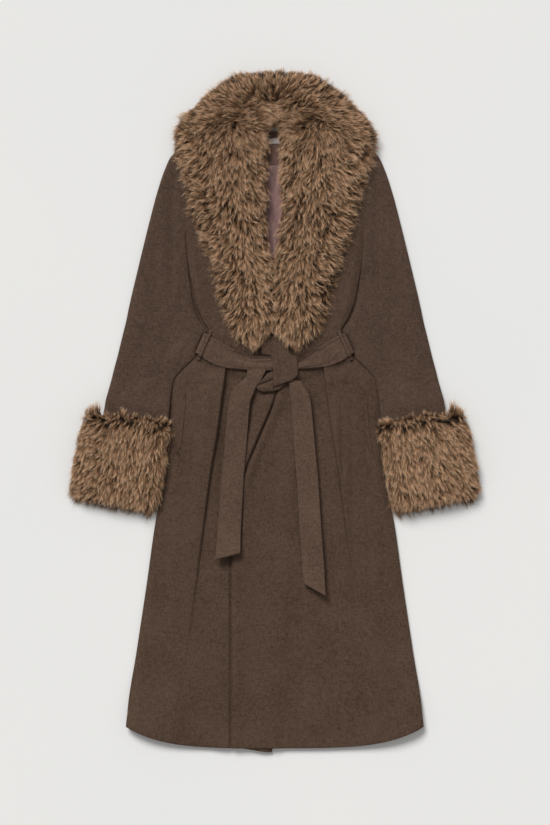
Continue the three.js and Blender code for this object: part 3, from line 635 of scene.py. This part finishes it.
# Half of the belt from the knot to the side: (x, y) of its top edge, of its low edge, height.
BELT_HALVES = {
    "right": [(-8, 101, -6, 74, 17.6), (18, 100.4, 21, 73.2, 17.8), (39, 99.2, 46, 74.4, 17.8),
              (60, 105.5, 66, 75.6, 17), (87.9, 119.5, 94, 79, 15.6), (104, 129.5, 116, 87, 14),
              (116, 136.2, 131, 95.6, 14)],
    "left": [(16, 96, 16, 72, 17.1), (39.6, 91, 42.4, 75.6, 18), (62, 104, 66, 77.2, 17),
             (83, 117, 92, 80, 15.6), (99, 128, 114, 87, 14), (113, 136.2, 130, 95.2, 14)],
}
# Around the side edge and in under the back: (distance past the edge, height).
BELT_TURN = [(-8, 13.9), (-1, 13.1), (1.6, 12.4), (2.9, 10.4), (2.9, 5), (1.6, 2.8), (-1, 2.1),
             (-8, 2.1), (-14, 2.1)]
# The belt's heading as it goes round the side edge.
HEAD_X, HEAD_Y = 0.912, 0.41
for hand, sign in SIDES:
    rows = [(sign * a, b, z, sign * c, d, z) for a, b, c, d, z in BELT_HALVES[hand]]
    half_x, half_y = BELT_WIDE / 2 * HEAD_Y, BELT_WIDE / 2 * HEAD_X
    for out, z in BELT_TURN:
        mid_x, mid_y = SIDE_X + out * HEAD_X, SIDE_Y + out * HEAD_Y
        rows.append((sign * (mid_x - half_x), mid_y + half_y, z, sign * (mid_x + half_x), mid_y - half_y, z))
    grid = spanned(rows, 2.5, 23)
    x, t = grid[..., 0], np.linspace(0, 1, 23)[None, :]
    near_knot = 1 - ease(np.abs(x), 38, 96)
    on_top = ease(grid[..., 2], 10.5, 13)
    seams = 0.5 * bump(t, 0.06, 0.07) - 0.9 * bump(t, 0.17, 0.05) - 0.6 * bump(t, 0.9, 0.06)
    crumple = 0.9 * bump(t, 0.7, 0.14) - 1.5 * bump(t, 0.36 - 0.1 * np.sin(x / 17), 0.12)
    crumple = crumple + 0.5 * np.sin(x / 9)
    grid[..., 2] += (0.8 * (1 - (2 * t - 1) ** 2) + seams + near_knot * crumple) * on_top
    piece = layer(f"belt_{hand}", grid, BELT_THICK - 0.6, lit_belt_wool, f"belt_front_{hand}")

    # A narrow loop of folded wool over the belt, its ends caught in the front above and below.
    mid_x, mid_y = SIDE_X - 6 * HEAD_X, SIDE_Y - 6 * HEAD_Y
    over_belt = [(20, 17.5), (22.6, 16.5), (24, 12.7), (30, 12.7)]
    over_belt = [(-reach, z) for reach, z in over_belt[::-1]] + [(0, 17.7)] + over_belt
    turn = np.arctan2(HEAD_Y, sign * HEAD_X) + np.pi / 2
    rows = [(sign * (mid_x - reach * HEAD_Y), mid_y + reach * HEAD_X, z, turn) for reach, z in over_belt]
    carrier = layer(f"belt_carrier_{hand}", band(rows, 7, 2, 9), 1.8, lit_belt_wool, f"belt_loop_{hand}")


# ---- Knot and hanging ends ----
# A flat half knot: a broad turn of the belt comes up between the lapels and down over the
# front, a smaller turn shows under it, and the two ends hang, cut off at a slant.
def hanging(edges, wave, phase):
    """A belt end's grid: full in the middle, stitched flat beside its edges, gently waved."""
    grid = spanned(edges, 4, 15)
    down, place = grid[..., 1], np.linspace(-1, 1, 15)[None, :]
    grid[..., 2] += (2.6 + 1.6 * place) * ease(-down, -60, 0) + 0.5 * (1 - place ** 2)
    stitches = 0.35 * bump(np.abs(place), 0.8, 0.1)
    grid[..., 2] += 0.5 * np.sin(down / wave + phase) * ease(-down, 20, 80) - stitches
    return grid


def folded(edges, across, folds):
    """A turn of the belt between two edges, with its folds."""
    grid = spanned(edges, 1.8, across)
    grid[..., 2] += soft_folds(grid[..., 0], grid[..., 1], folds)
    return grid


# Right-hand end: it leaves the belt beside the knot and bends down.
grid = hanging([
    (-50, 88, 18, -14, 88, 18), (-50.4, 80, 19.2, -15, 79, 19.2), (-51, 66, 19.8, -20, 66, 20),
    (-58, 57, 18.6, -27, 54, 18.8), (-68, 49, 17.6, -34, 44, 17.8), (-76, 40, 17, -37.6, 34, 17),
    (-84, 18, 15, -44.5, 18, 15), (-90, -33, 13.2, -49.5, -34, 13.2), (-94.5, -90, 12.9, -54, -91, 12.9),
    (-98, -130, 12.8, -57, -128, 12.8), (-104.5, -212, 13.6, -61.5, -210, 13.6),
    (-107, -242, 17.6, -62.5, -234, 16.4), (-109.5, -274.5, 27, -63, -262.5, 24),
], 31, 0)
thick = 0.5 + (BELT_THICK - 1.1) * (1 - ease(grid[..., 1], 58, 76))
tail_right = layer("belt_end_right", grid, thick, lit_belt_wool, "tail_right")
# Left-hand end: it drops from under the knot, longer and half lost against the front.
grid = hanging([
    (24, 60, 16.6, 50, 53, 17), (26.5, 43, 16.9, 61, 36, 17), (29.5, 18, 14.9, 66.3, 16, 14.9),
    (33.5, -33, 13.1, 71.8, -34, 13.1), (37.5, -90, 12.8, 76.8, -91, 12.8),
    (40, -123, 12.7, 80, -124, 12.7), (45.6, -212, 12.9, 85.6, -212, 12.9),
    (50.6, -283, 14.2, 91.4, -290, 15), (53, -318.5, 18.4, 94, -341.5, 24),
], 37, 1)
tail_left = layer("belt_end_left", grid, BELT_THICK - 0.6, lit_belt_wool, "tail_left")
# The small turn under the knot.
grid = folded([
    (-5, 73, 18.2, 20, 66, 18.2), (-14, 66.5, 18.8, 20, 60, 18.4), (-24, 56.5, 18.8, 19, 53, 18.2),
    (-34.5, 47, 18.2, 16, 46, 17.9), (-32, 39, 17.4, 10, 40, 17.4), (-22, 34, 16.6, 0, 36, 16.6),
], 19, [(-40, 43, 2, 58, 2.4, -2.8), (-30, 53, -4, 64, 4, 1.1), (-26, 38, 8, 44, 4, 1)])
lobe = layer("knot_small_turn", grid, 2.6, body_wool, "knot_lobe")
# The broad turn over it, and the edge of the turn that it lies on.
grid = folded([
    (-22, 134, 17, 2, 136, 17.4), (-24.4, 126, 18, 3, 126, 18.6), (-25, 114, 18.8, 3, 114, 19.4),
    (-24.4, 107, 18.8, 2, 106, 19.6), (-23, 103.4, 17.6, 0, 100.5, 18.2),
], 13, [(-17, 134, -14, 104, 2.4, -1.2), (-21, 132, -20, 106, 2, 0.6)])
second = layer("knot_second_turn", grid, 2.8, body_wool)
grid = folded([
    (-9.4, 139, 16, 11.1, 143, 18), (-9.2, 131, 16.6, 16, 131, 19.2), (-8.6, 119, 17.6, 21, 120, 20.4),
    (-8.2, 110, 18.8, 27.4, 110, 21.4), (-8, 106, 20.6, 30, 105, 22), (-5.4, 97, 22.8, 40, 98, 22.2),
    (-3.2, 84, 23.2, 42.2, 85, 22.4), (-2.6, 69, 22.8, 43.4, 73, 22.2), (-3.4, 56, 22.4, 42, 64, 22.6),
    (-3.8, 48, 22, 34, 58, 22.4), (-3.9, 43, 21, 25, 53.6, 21.4),
], 25, [
    (-6, 132, 2, 92, 2.8, -2.4), (5, 136, 18, 98, 5, 1.6), (16, 128, 38, 92, 3, -1.7), (2, 96, 4, 50, 5, 1.1),
    (34, 94, 38, 66, 5, 0.9), (12, 92, 24, 56, 3.2, -1.2), (22, 104, 32, 70, 5, 1), (-2, 60, 34, 66, 3, -0.6),
])
knot = layer("knot_broad_turn", grid, 3.4, body_wool, "knot_band")

# ---- Fur collar ----
# Two halves of a deep shawl collar in long wavy fur, joined at the centre back. The pile
# grows in pointed locks from a soft skin, parts along the lapel and hangs over its edges.

# Rows from the low end to the centre back: inner (x, y), outer (x, y), depth of the fur.
COLLAR_ROWS = [
    (0, 14, 151, 39, 111, 14), (1, 2, 166, 56, 127, 24), (2, 1.5, 200, 82, 153, 31),
    (3, 1.5, 235, 99, 200, 34), (4, 1.5, 270, 118, 262, 36), (5, 8, 300, 133, 304, 36),
    (6, 10, 350, 148, 345, 37), (7, 10, 400, 163, 394, 38), (8, 10, 440, 171, 434, 39),
    (9, 10, 480, 184, 467, 40), (10, 11, 505, 189, 500, 41), (11, 12, 516, 178, 531, 42),
    (12, 11, 521, 151, 560, 42), (13, 9, 523, 111, 592, 42), (14, 5.5, 524, 66, 619, 42),
    (15, 0.4, 524.5, 0.4, 626, 42),
]
# How full the fur is across a row, from its inner edge to its outer one.
COLLAR_RISE = [(0, 0.42), (0.1, 0.8), (0.25, 0.98), (0.45, 1), (0.65, 0.97), (0.82, 0.82), (0.94, 0.55),
               (1, 0.3)]
# Which way the hair lies: across the lapel, (place, outward, downward); and across the back neck.
LAPEL_LIE = [(0, -0.62, 0.8), (0.15, -0.5, 0.9), (0.35, -0.1, 1), (0.55, 0.45, 0.85), (0.75, 0.85, 0.5),
             (1, 1, 0.25)]
NECK_LIE = [(0, -0.5, -0.7), (0.2, -0.5, -0.7), (0.38, -0.25, -0.3), (0.52, 0.4, 0.15), (0.75, 0.95, 0.2),
            (1, 1, 0.05)]

# Hair is coloured from root to tip along the map's V, and its U says how pale the lock is.
fur_hair, tree, shader = new_finish("fur_hair")
root, middle, tip, pale = paint(40, 27, 18), paint(132, 97, 67), paint(230, 184, 143), paint(255, 238, 208)
strand = tree.nodes.new("ShaderNodeUVMap")
strand.uv_map = "OFBake"
apart = tree.nodes.new("ShaderNodeSeparateXYZ")
tree.links.new(strand.outputs["UV"], apart.inputs["Vector"])
along = apart.outputs["Y"]
mix = tree.nodes.new("ShaderNodeMix")
mix.data_type = "RGBA"
tree.links.new(apart.outputs["X"], mix.inputs["Factor"])
dark_hair, pale_hair = (socket for socket in mix.inputs if socket.type == "RGBA")
tree.links.new(ramp(tree, along, [(0, root), (0.45, root), (0.8, middle), (1, tip)]), dark_hair)
tree.links.new(ramp(tree, along, [(0, root), (0.32, root), (0.54, middle), (0.8, tip), (1, pale)]), pale_hair)
tree.links.new(next(s for s in mix.outputs if s.type == "RGBA"), shader.inputs["Base Color"])
tree.links.new(range_of(tree, along, 0, 1, 0.85, 0.6), shader.inputs["Roughness"])
put(shader, Specular_IOR_Level=0.25)

skin_finish, tree, shader = new_finish("fur_underwool")
down = grain(tree, 420, 3, 0.7)
umber = ramp(tree, down, [(0.3, paint(38, 28, 20)), (0.7, paint(72, 53, 38))])
tree.links.new(umber, shader.inputs["Base Color"])
tree.links.new(range_of(tree, grain(tree, 300), 0.3, 0.7, 1.0, 0.85), shader.inputs["Roughness"])
relief(tree, shader, down, 0.002)


def unit(vectors):
    """Vectors of length 1."""
    return vectors / (np.linalg.norm(vectors, axis=-1, keepdims=True) + 1e-12)


def swirled(lie, normal, angle):
    """The hair's lie turned about the skin's normal."""
    return np.cos(angle)[:, None] * lie + np.sin(angle)[:, None] * np.cross(normal, lie)


def hair(name, centre, normal, lie, length, lift, tone, dark, frizz, per_lock, width, seed):
    """Locks of tapered hairs: each starts at a centre on the skin, rises, lies over and comes to a point.
    A dark lock, 0 to 1, keeps its roots' colour further up; frizz is its share of loose hairs."""
    # The callers use dark for painted shade: the collar's fringe beside the lapels and the cuffs' underside.
    chance = np.random.default_rng(seed)
    lock = np.repeat(np.arange(len(centre)), per_lock)
    count = len(lock)
    lie = unit(lie - normal * np.einsum("ij,ij->i", lie, normal)[:, None])
    aside = np.cross(normal, lie)
    ring = 1.75 * np.sqrt(chance.random(count))[:, None]
    angle = chance.random(count)[:, None] * 2 * np.pi
    loose = (chance.random(count) < frizz[lock])[:, None]
    ring = np.where(loose, ring * 2.4, ring)
    away = ring * (np.cos(angle) * lie[lock] + np.sin(angle) * aside[lock])
    sway = chance.normal(0, 0.22, len(centre))[lock][:, None]
    sway = sway + chance.normal(0, 1, (count, 1)) * np.where(loose, 0.34, 0.09)
    long = (length[lock] * (0.8 + 0.28 * chance.random(count)))[:, None]
    long = long * np.where(loose, 0.72 + 0.42 * chance.random((count, 1)), 1)
    up_root = (lift[lock] + 0.42 + chance.normal(0, 0.1, count))[:, None]
    up_tip = (lift[lock] - 0.42 + chance.normal(0, 0.16, count))[:, None]
    lie, aside, normal = lie[lock], aside[lock], normal[lock]
    first = unit(np.cos(up_root) * (lie - 0.6 * sway * aside) + np.sin(up_root) * normal)
    last = unit(np.cos(up_tip) * (lie + 1.3 * sway * aside) + np.sin(up_tip) * normal)
    root = centre[lock] + away - 0.8 * normal
    bend = root + 0.47 * long * first - np.where(loose, 0.1, 0.3) * away
    tip = bend + 0.56 * long * last - np.where(loose, 0.1, 0.36) * away + chance.normal(0, 0.5, (count, 3))
    twist = chance.normal(0, 0.7, (count, 1))
    half = (width[lock] / 2 * (0.7 + 0.6 * chance.random(count)))[:, None] * np.where(loose, 0.7, 1)
    half = half * (np.cos(twist) * aside + np.sin(twist) * normal)
    points = np.stack([root - half, root + half, bend - 0.85 * half, bend + 0.85 * half, tip], 1)
    points[..., 2] = np.maximum(points[..., 2], 0.3)
    # Each hair is a quad and a triangle: 5 points and 7 corners.
    hairs = np.arange(count)[:, None]
    corners = (hairs * 5 + np.array([0, 1, 3, 2, 2, 3, 4])).reshape(-1)
    mesh = bpy.data.meshes.new(name)
    mesh.vertices.add(count * 5)
    mesh.vertices.foreach_set("co", (points * 0.001).reshape(-1).astype(np.float32))
    mesh.loops.add(count * 7)
    mesh.loops.foreach_set("vertex_index", corners.astype(np.int32))
    mesh.polygons.add(count * 2)
    mesh.polygons.foreach_set("loop_start", (hairs * 7 + np.array([0, 4])).reshape(-1).astype(np.int32))
    mesh.update(calc_edges=True)
    shade = np.clip(tone[lock] + chance.normal(0, 0.2, count), 0.02, 0.98)
    along = np.array([0, 0, 0.5, 0.5, 0.5, 0.5, 0.99])
    maps = np.stack([np.repeat(shade, 7), (along * (1 - 0.38 * dark[lock])[:, None]).reshape(-1)], -1)
    mesh.uv_layers.new(name="OFBake").data.foreach_set("uv", maps.reshape(-1).astype(np.float32))
    pile = on_coat(name, mesh, fur_hair)
    return pile


def waves(x, y, size, seed):
    """A smooth random height between about -1 and 1 over the plan, with bumps of that size."""
    chance = np.random.default_rng(seed)
    total = 0 * x
    for _ in range(9):
        angle, phase, scale = chance.random(3) * [2 * np.pi, 2 * np.pi, size] + [0, 0, 0.6 * size]
        total = total + np.sin((x * np.cos(angle) + y * np.sin(angle)) * 2 * np.pi / scale + phase)
    return total / 4.2


def collar_place(row, across, sign):
    """Points of the collar's skin; row and across are arrays of the same length."""
    in_x, in_y, out_x, out_y, depth = curve(COLLAR_ROWS, row).T
    in_x = in_x - 2 * sign * ease(in_x, 2, 7) * (1 - ease(in_y, 512, 522))
    long = np.hypot(out_x - in_x, out_y - in_y)
    # The skin stays back from both edges by about the hair's reach.
    start = 4 + 2.8 * ease(row, 4, 5.6) - 1.8 * ease(row, 8.4, 9.3) + 2 * ease(row, 9.8, 10.6)
    start = (start - 4 * ease(row, 11.2, 12)) / long
    end = 1 - (7 + 5 * ease(row, 3, 5) - 6 * ease(row, 11.5, 13)) / long
    t = start + (end - start) * across
    x, y = in_x + (out_x - in_x) * t, in_y + (out_y - in_y) * t
    free = np.clip((y - 522) / 23, 0, 1)
    under = (10.3 + belt_lift(x, y - 8)) * (1 - free)
    rise = curve(COLLAR_RISE, across)[:, 0]
    z = np.maximum(under, 3 * ease(row, 10, 12)) + depth * 0.52 * rise
    z = z + 1.6 * waves(x, y, 34, 5) * ease(rise, 0.3, 0.9)
    return np.stack([sign * x, y, z], -1), under


SKIN_ROWS, SKIN_WIDE = 90, 22
FIRST_ROW, LAST_ROW = 0.35, 15
for hand, sign in SIDES:
    row = np.repeat(np.linspace(FIRST_ROW, LAST_ROW, SKIN_ROWS), SKIN_WIDE)
    across = np.tile(np.linspace(0, 1, SKIN_WIDE), SKIN_ROWS)
    top, under = collar_place(row, across, sign)
    low = top.copy()
    low[:, 2] = under + 0.25
    top[:, 2] = np.maximum(top[:, 2], low[:, 2] + 1)
    index = np.arange(len(top)).reshape(SKIN_ROWS, SKIN_WIDE)
    loop = rim(index)
    faces = [quads(index), quads(index + len(top))[:, ::-1], quads(np.stack([loop + len(top), loop]), True)]
    skin = make_piece(f"collar_skin_{hand}", [top, low], faces, skin_finish, f"collar_{hand}")

    chance = np.random.default_rng(41 if sign < 0 else 43)
    spots = []
    for step in np.arange(FIRST_ROW, LAST_ROW, 0.086):
        (in_x, in_y, out_x, out_y, _), = curve(COLLAR_ROWS, [step])
        locks = np.hypot(out_x - in_x, out_y - in_y) / 4.45
        spots += [(step, t) for t in np.arange(0.5, locks) / locks]
    spots = np.array(spots) + chance.normal(0, 1, (len(spots), 2)) * [0.045, 0.014]
    # A fringe along the outer edge, closer set where it is the coat's outline. Beside the lapels its hairs
    # lie flat and stay dark: painted shade on the cloth along the collar's edge.
    border = np.r_[np.arange(FIRST_ROW, 10.4, 0.085), np.arange(10.4, LAST_ROW, 0.05)]
    spots = np.concatenate([spots, np.column_stack([border, np.ones(len(border))])])
    fringe = np.arange(len(spots)) >= len(spots) - len(border)
    row = LAST_ROW - np.abs(LAST_ROW - np.maximum(spots[:, 0], FIRST_ROW))
    across = np.clip(spots[:, 1], 0, 1)
    centre, _ = collar_place(row, across, sign)
    centre[fringe, 2] -= 3
    further, _ = collar_place(row, np.clip(across + 0.02, 0, 1.02), sign)
    nearer, _ = collar_place(row, np.clip(across - 0.02, -0.02, 1), sign)
    ahead, _ = collar_place(np.clip(row - 0.06, 0, LAST_ROW), across, sign)
    behind, _ = collar_place(np.clip(row + 0.06, 0, LAST_ROW), across, sign)
    outward, onward = unit(further - nearer), unit(ahead - behind)
    normal = unit(np.cross(outward, onward))
    normal *= np.sign(normal[:, 2:3] + 1e-9)
    mixed_up = np.clip(across + chance.normal(0, 0.07, len(across)), 0, 1)
    at_neck = ease(row, 9.5, 12.2)[:, None]
    weight = curve(LAPEL_LIE, mixed_up) * (1 - at_neck) + curve(NECK_LIE, mixed_up) * at_neck
    weight[:, 1] += 0.9 * (1 - ease(row, 0.5, 3.5)) * (1 - 0.3 * across)
    x, y = centre[:, 0], centre[:, 1]
    swirl = 0.34 * waves(x, y, 46, 7 if sign < 0 else 8) + chance.normal(0, 0.14, len(row))
    lie = unit(outward * weight[:, :1] + onward * weight[:, 1:])
    # At the low ends the hair hangs straight down the coat.
    hang = 1.5 * (1 - ease(row, 0.4, 2.4)) * (1 - ease(across, 0.3, 0.8))
    lie = swirled(unit(lie + np.array([0, -1, 0]) * hang[:, None]), normal, swirl)
    guard = ease(chance.random(len(row)), 0.4, 0.72)
    length = 20 + 4.5 * guard + 4 * waves(x, y, 60, 9) + chance.normal(0, 2.5, len(row))
    length = length - 6 * (1 - ease(across, 0, 0.13)) * ease(row, 3.8, 4.8) * (1 - ease(row, 11.8, 12.6))
    lift = 0.34 + 0.3 * guard - 0.3 * ease(np.abs(across - 0.45), 0.3, 0.55) + 0.14 * waves(x, y, 24, 10)
    # Painted shade darkens the fur over the shoulders and at the low ends; it is paler at the edge and in two
    # tufts at the back.
    painted_shade = 0.42 * bump(np.abs(x), 75, 52) * bump(y, 522, 38) + 0.34 * (1 - ease(row, 0.5, 1.5))
    tone = 0.44 + 0.5 * guard + 0.24 * waves(x, y, 36, 12) + 0.26 * ease(across, 0.7, 1) - painted_shade
    tone = tone + 0.5 * bump(np.abs(x), 85, 9) * bump(y, 586, 9)
    # The fringe is pale at the outline and dark below it, where its root-coloured hair is painted shade
    # beside the lapels.
    outline = ease(row, 8.4, 9.6)
    tone, dark = np.where(fringe, 0.05 + 0.6 * outline, tone), fringe * (1 - outline)
    width = np.where(fringe & (row > 10), 0.9, 0.8 - 0.34 * ease(across, 0.88, 0.98))
    lift = np.where(fringe, -0.3 + 0.3 * outline, lift)
    length = np.where(fringe, 20.5 - 3.5 * outline, length)
    frizz = 0.46 + 0.3 * ease(across, 0.82, 0.96)
    seed = 51 if sign < 0 else 53
    pile = hair(f"collar_fur_{hand}", centre, normal, lie, length, lift, tone, dark, frizz, 12, width, seed)

# ---- Fur cuffs ----
# Deep cuffs of the same fur, tubes folded flat around the sleeve ends. The pile runs down
# towards the hand and outwards, and stands up in tufts where the cuff meets the sleeve.

# Rings from the sleeve down: how far along, inner side, outer side, height.
CUFF_RINGS = [
    (0, -68, 66, 30), (10, -73.5, 74, 40), (28, -77, 80, 42), (60, -80.5, 84, 41), (100, -85, 85, 42),
    (140, -85.5, 84, 41), (156, -85, 82, 36), (168, -83, 79, 28), (177, -79, 73, 17), (182, -74, 66, 9),
]
# Where the cuff starts along the sleeve, by place across it from -1 at the body to 1.
CUFF_TOP = [(-1, 13), (-0.75, 13), (-0.26, 12.5), (0.2, 15), (0.6, 21), (1, 21)]
CUFF_LOW = 175
AROUND = 72


def cuff_skin(along, angle, sign):
    """Points of the cuff's skin at places along it and at angles around it, 0 at the outer side."""
    inner, outer, tall = curve(CUFF_RINGS, along).T
    inner, outer = inner + 4.95 * ease(along, 24, 60), outer - 11
    c, s = np.cos(angle), np.sin(angle)
    place = np.sign(c) * np.abs(c) ** 0.5
    skin_tall = tall * 0.6 * (0.68 + 0.32 * ease(along - curve(CUFF_TOP, place)[:, 0], 0, 15))
    x, y = cuff_place(along, (inner + outer) / 2 + (outer - inner) / 2 * place)
    z = 1.2 + skin_tall * (0.5 + 0.5 * np.sign(s) * np.abs(s) ** 0.6)
    z = z + 1.4 * waves(x, y, 30, 15) * np.clip(s, 0, 1)
    return np.stack([sign * x, y, z], -1)


TOP, SIDE, UNDER = 0, 1, 2
for hand, sign in SIDES:
    angle = np.linspace(0, 2 * np.pi, AROUND, endpoint=False)
    c, s = np.cos(angle), np.sin(angle)
    top = curve(CUFF_TOP, np.sign(c) * np.abs(c) ** 0.5)[:, 0]
    along = top + (CUFF_LOW - top) * np.r_[0, 0.012, np.linspace(0.03, 1, 40)][:, None]
    outer = cuff_skin(along.reshape(-1), np.tile(angle, len(along)), sign).reshape(len(along), AROUND, 3)
    # The inside is wide where it takes the sleeve's end and narrower beyond it.
    narrow = ease(along, 46, 52)
    x, y = cuff_place(along, 2 * narrow - 10 + (56 - 5 * narrow) * np.sign(c) * np.abs(c) ** 0.35)
    inner = np.stack([sign * x, y, 12.3 + (4.6 - 2.9 * narrow) * np.sign(s) * np.abs(s) ** 0.5], -1)
    skin = tube(f"cuff_skin_{hand}", outer, inner, skin_finish, f"cuff_{hand}")

    # A lock's spot is how far along it is, and its place across the top or underside or its angle at a side.
    chance = np.random.default_rng(61 if sign < 0 else 63)
    spots = []
    for step in np.arange(15, 172, 3.9):
        spots += [(step, TOP, turn) for turn in np.linspace(-1, 1, 38)[1:-1]]
        spots += [(step, SIDE, side + turn) for side in (0, np.pi) for turn in np.linspace(-0.66, 0.66, 6)]
    spots = np.array(spots) + chance.normal(0, 1, (len(spots), 3)) * [1.5, 0, 0.016]
    rows = [(step, UNDER, turn) for step in (161, 167, 173) for turn in np.linspace(-0.98, 0.98, 60)]
    a, kind, turn = np.concatenate([spots, rows]).T
    a, across = np.clip(a, 14, 174), np.clip(turn, -0.995, 0.995)
    b = np.arccos(np.sign(across) * across ** 2) * np.where(kind == UNDER, -1, 1)
    b = np.where(kind == SIDE, turn, b)
    place = np.sign(np.cos(b)) * np.sqrt(np.abs(np.cos(b)))
    below = a - curve(CUFF_TOP, place)[:, 0]
    a, b, place, below = (v[below > 0.8] for v in (a, b, place, below))
    count = len(a)
    centre = cuff_skin(a, b, sign)
    around = unit(cuff_skin(a, b + 0.04, sign) - cuff_skin(a, b - 0.04, sign))
    onward = unit(cuff_skin(np.minimum(a + 2, 182), b, sign) - cuff_skin(a - 2, b, sign))
    normal = unit(np.cross(around, onward))
    x, y = cuff_place(a, 0)
    core = np.stack([sign * x, y, np.full(count, 12)], -1)
    normal *= np.sign(np.einsum("ij,ij->i", normal, centre - core))[:, None]
    sideways = np.array([sign * np.cos(CUFF_TURN), np.sin(CUFF_TURN), 0])
    slant = 0.06 + 0.6 * ease(place, -0.3, 0.9)
    slant = slant - (0.48 + 0.27 * (1 - ease(below, 6, 56))) * ease(-place, 0.7, 1.0)
    lie = unit(onward * np.cos(slant)[:, None] + sideways * np.sin(slant)[:, None])
    x, y = sign * centre[:, 0], centre[:, 1]
    swirl = 0.24 * waves(x, y, 40, 17 if sign < 0 else 18) + chance.normal(0, 0.12, count)
    lie = swirled(lie, normal, swirl)
    # Where the cuff meets the sleeve a ruff of hair stands up and back, longest in three tufts.
    tuft = 0.85 * bump(place, 0.84, 0.2) + 0.7 * bump(place, 0.16, 0.05) + 0.5 * bump(place, -0.85, 0.14)
    ruff = 1 - ease(below + chance.normal(0, 3, count) - 9 * tuft, 2, 6)
    aside = 0.1 + 0.3 * ease(place, 0.2, 0.8) - 0.5 * ease(-place, 0.4, 0.9)
    back_up = unit(aside[:, None] * sideways - onward)
    lie = unit(lie * (1 - ruff)[:, None] + back_up * ruff[:, None] * 1.4)
    length = 24 + 3.5 * waves(x, y, 50, 19) + chance.normal(0, 2.2, count)
    guard = ease(chance.random(count), 0.4, 0.72)
    lift = 0.34 + 0.28 * guard - 0.3 * ease(np.abs(place), 0.75, 1.0) + 0.1 * waves(x, y, 22, 20)
    lift = np.minimum(lift + 0.3 * ruff + 0.6 * bump(below, 5, 6), 0.95)
    under = np.sin(b) < -0.2
    length = length * (1 - (0.56 + 0.2 * waves(x, y, 18, 23) - tuft) * ruff)
    length = length * (1 - 0.3 * ease(a, 150, 172) * ~under) + chance.normal(2, 1.2, count) * under
    # The underside's hair is painted darker and keeps its roots' colour further up: painted shade under the
    # cuff's lower end.
    tone = 0.62 + 0.3 * guard + 0.1 * waves(x, y, 30, 21) - 0.22 * under
    frizz = 0.5 + 0.3 * np.maximum(under, ease(np.abs(place), 0.86, 0.97))
    width, dark = 0.8 - 0.3 * under, 0.3 * under
    seed = 71 if sign < 0 else 73
    pile = hair(f"cuff_fur_{hand}", centre, normal, lie, length, lift, tone, dark, frizz, 17, width, seed)
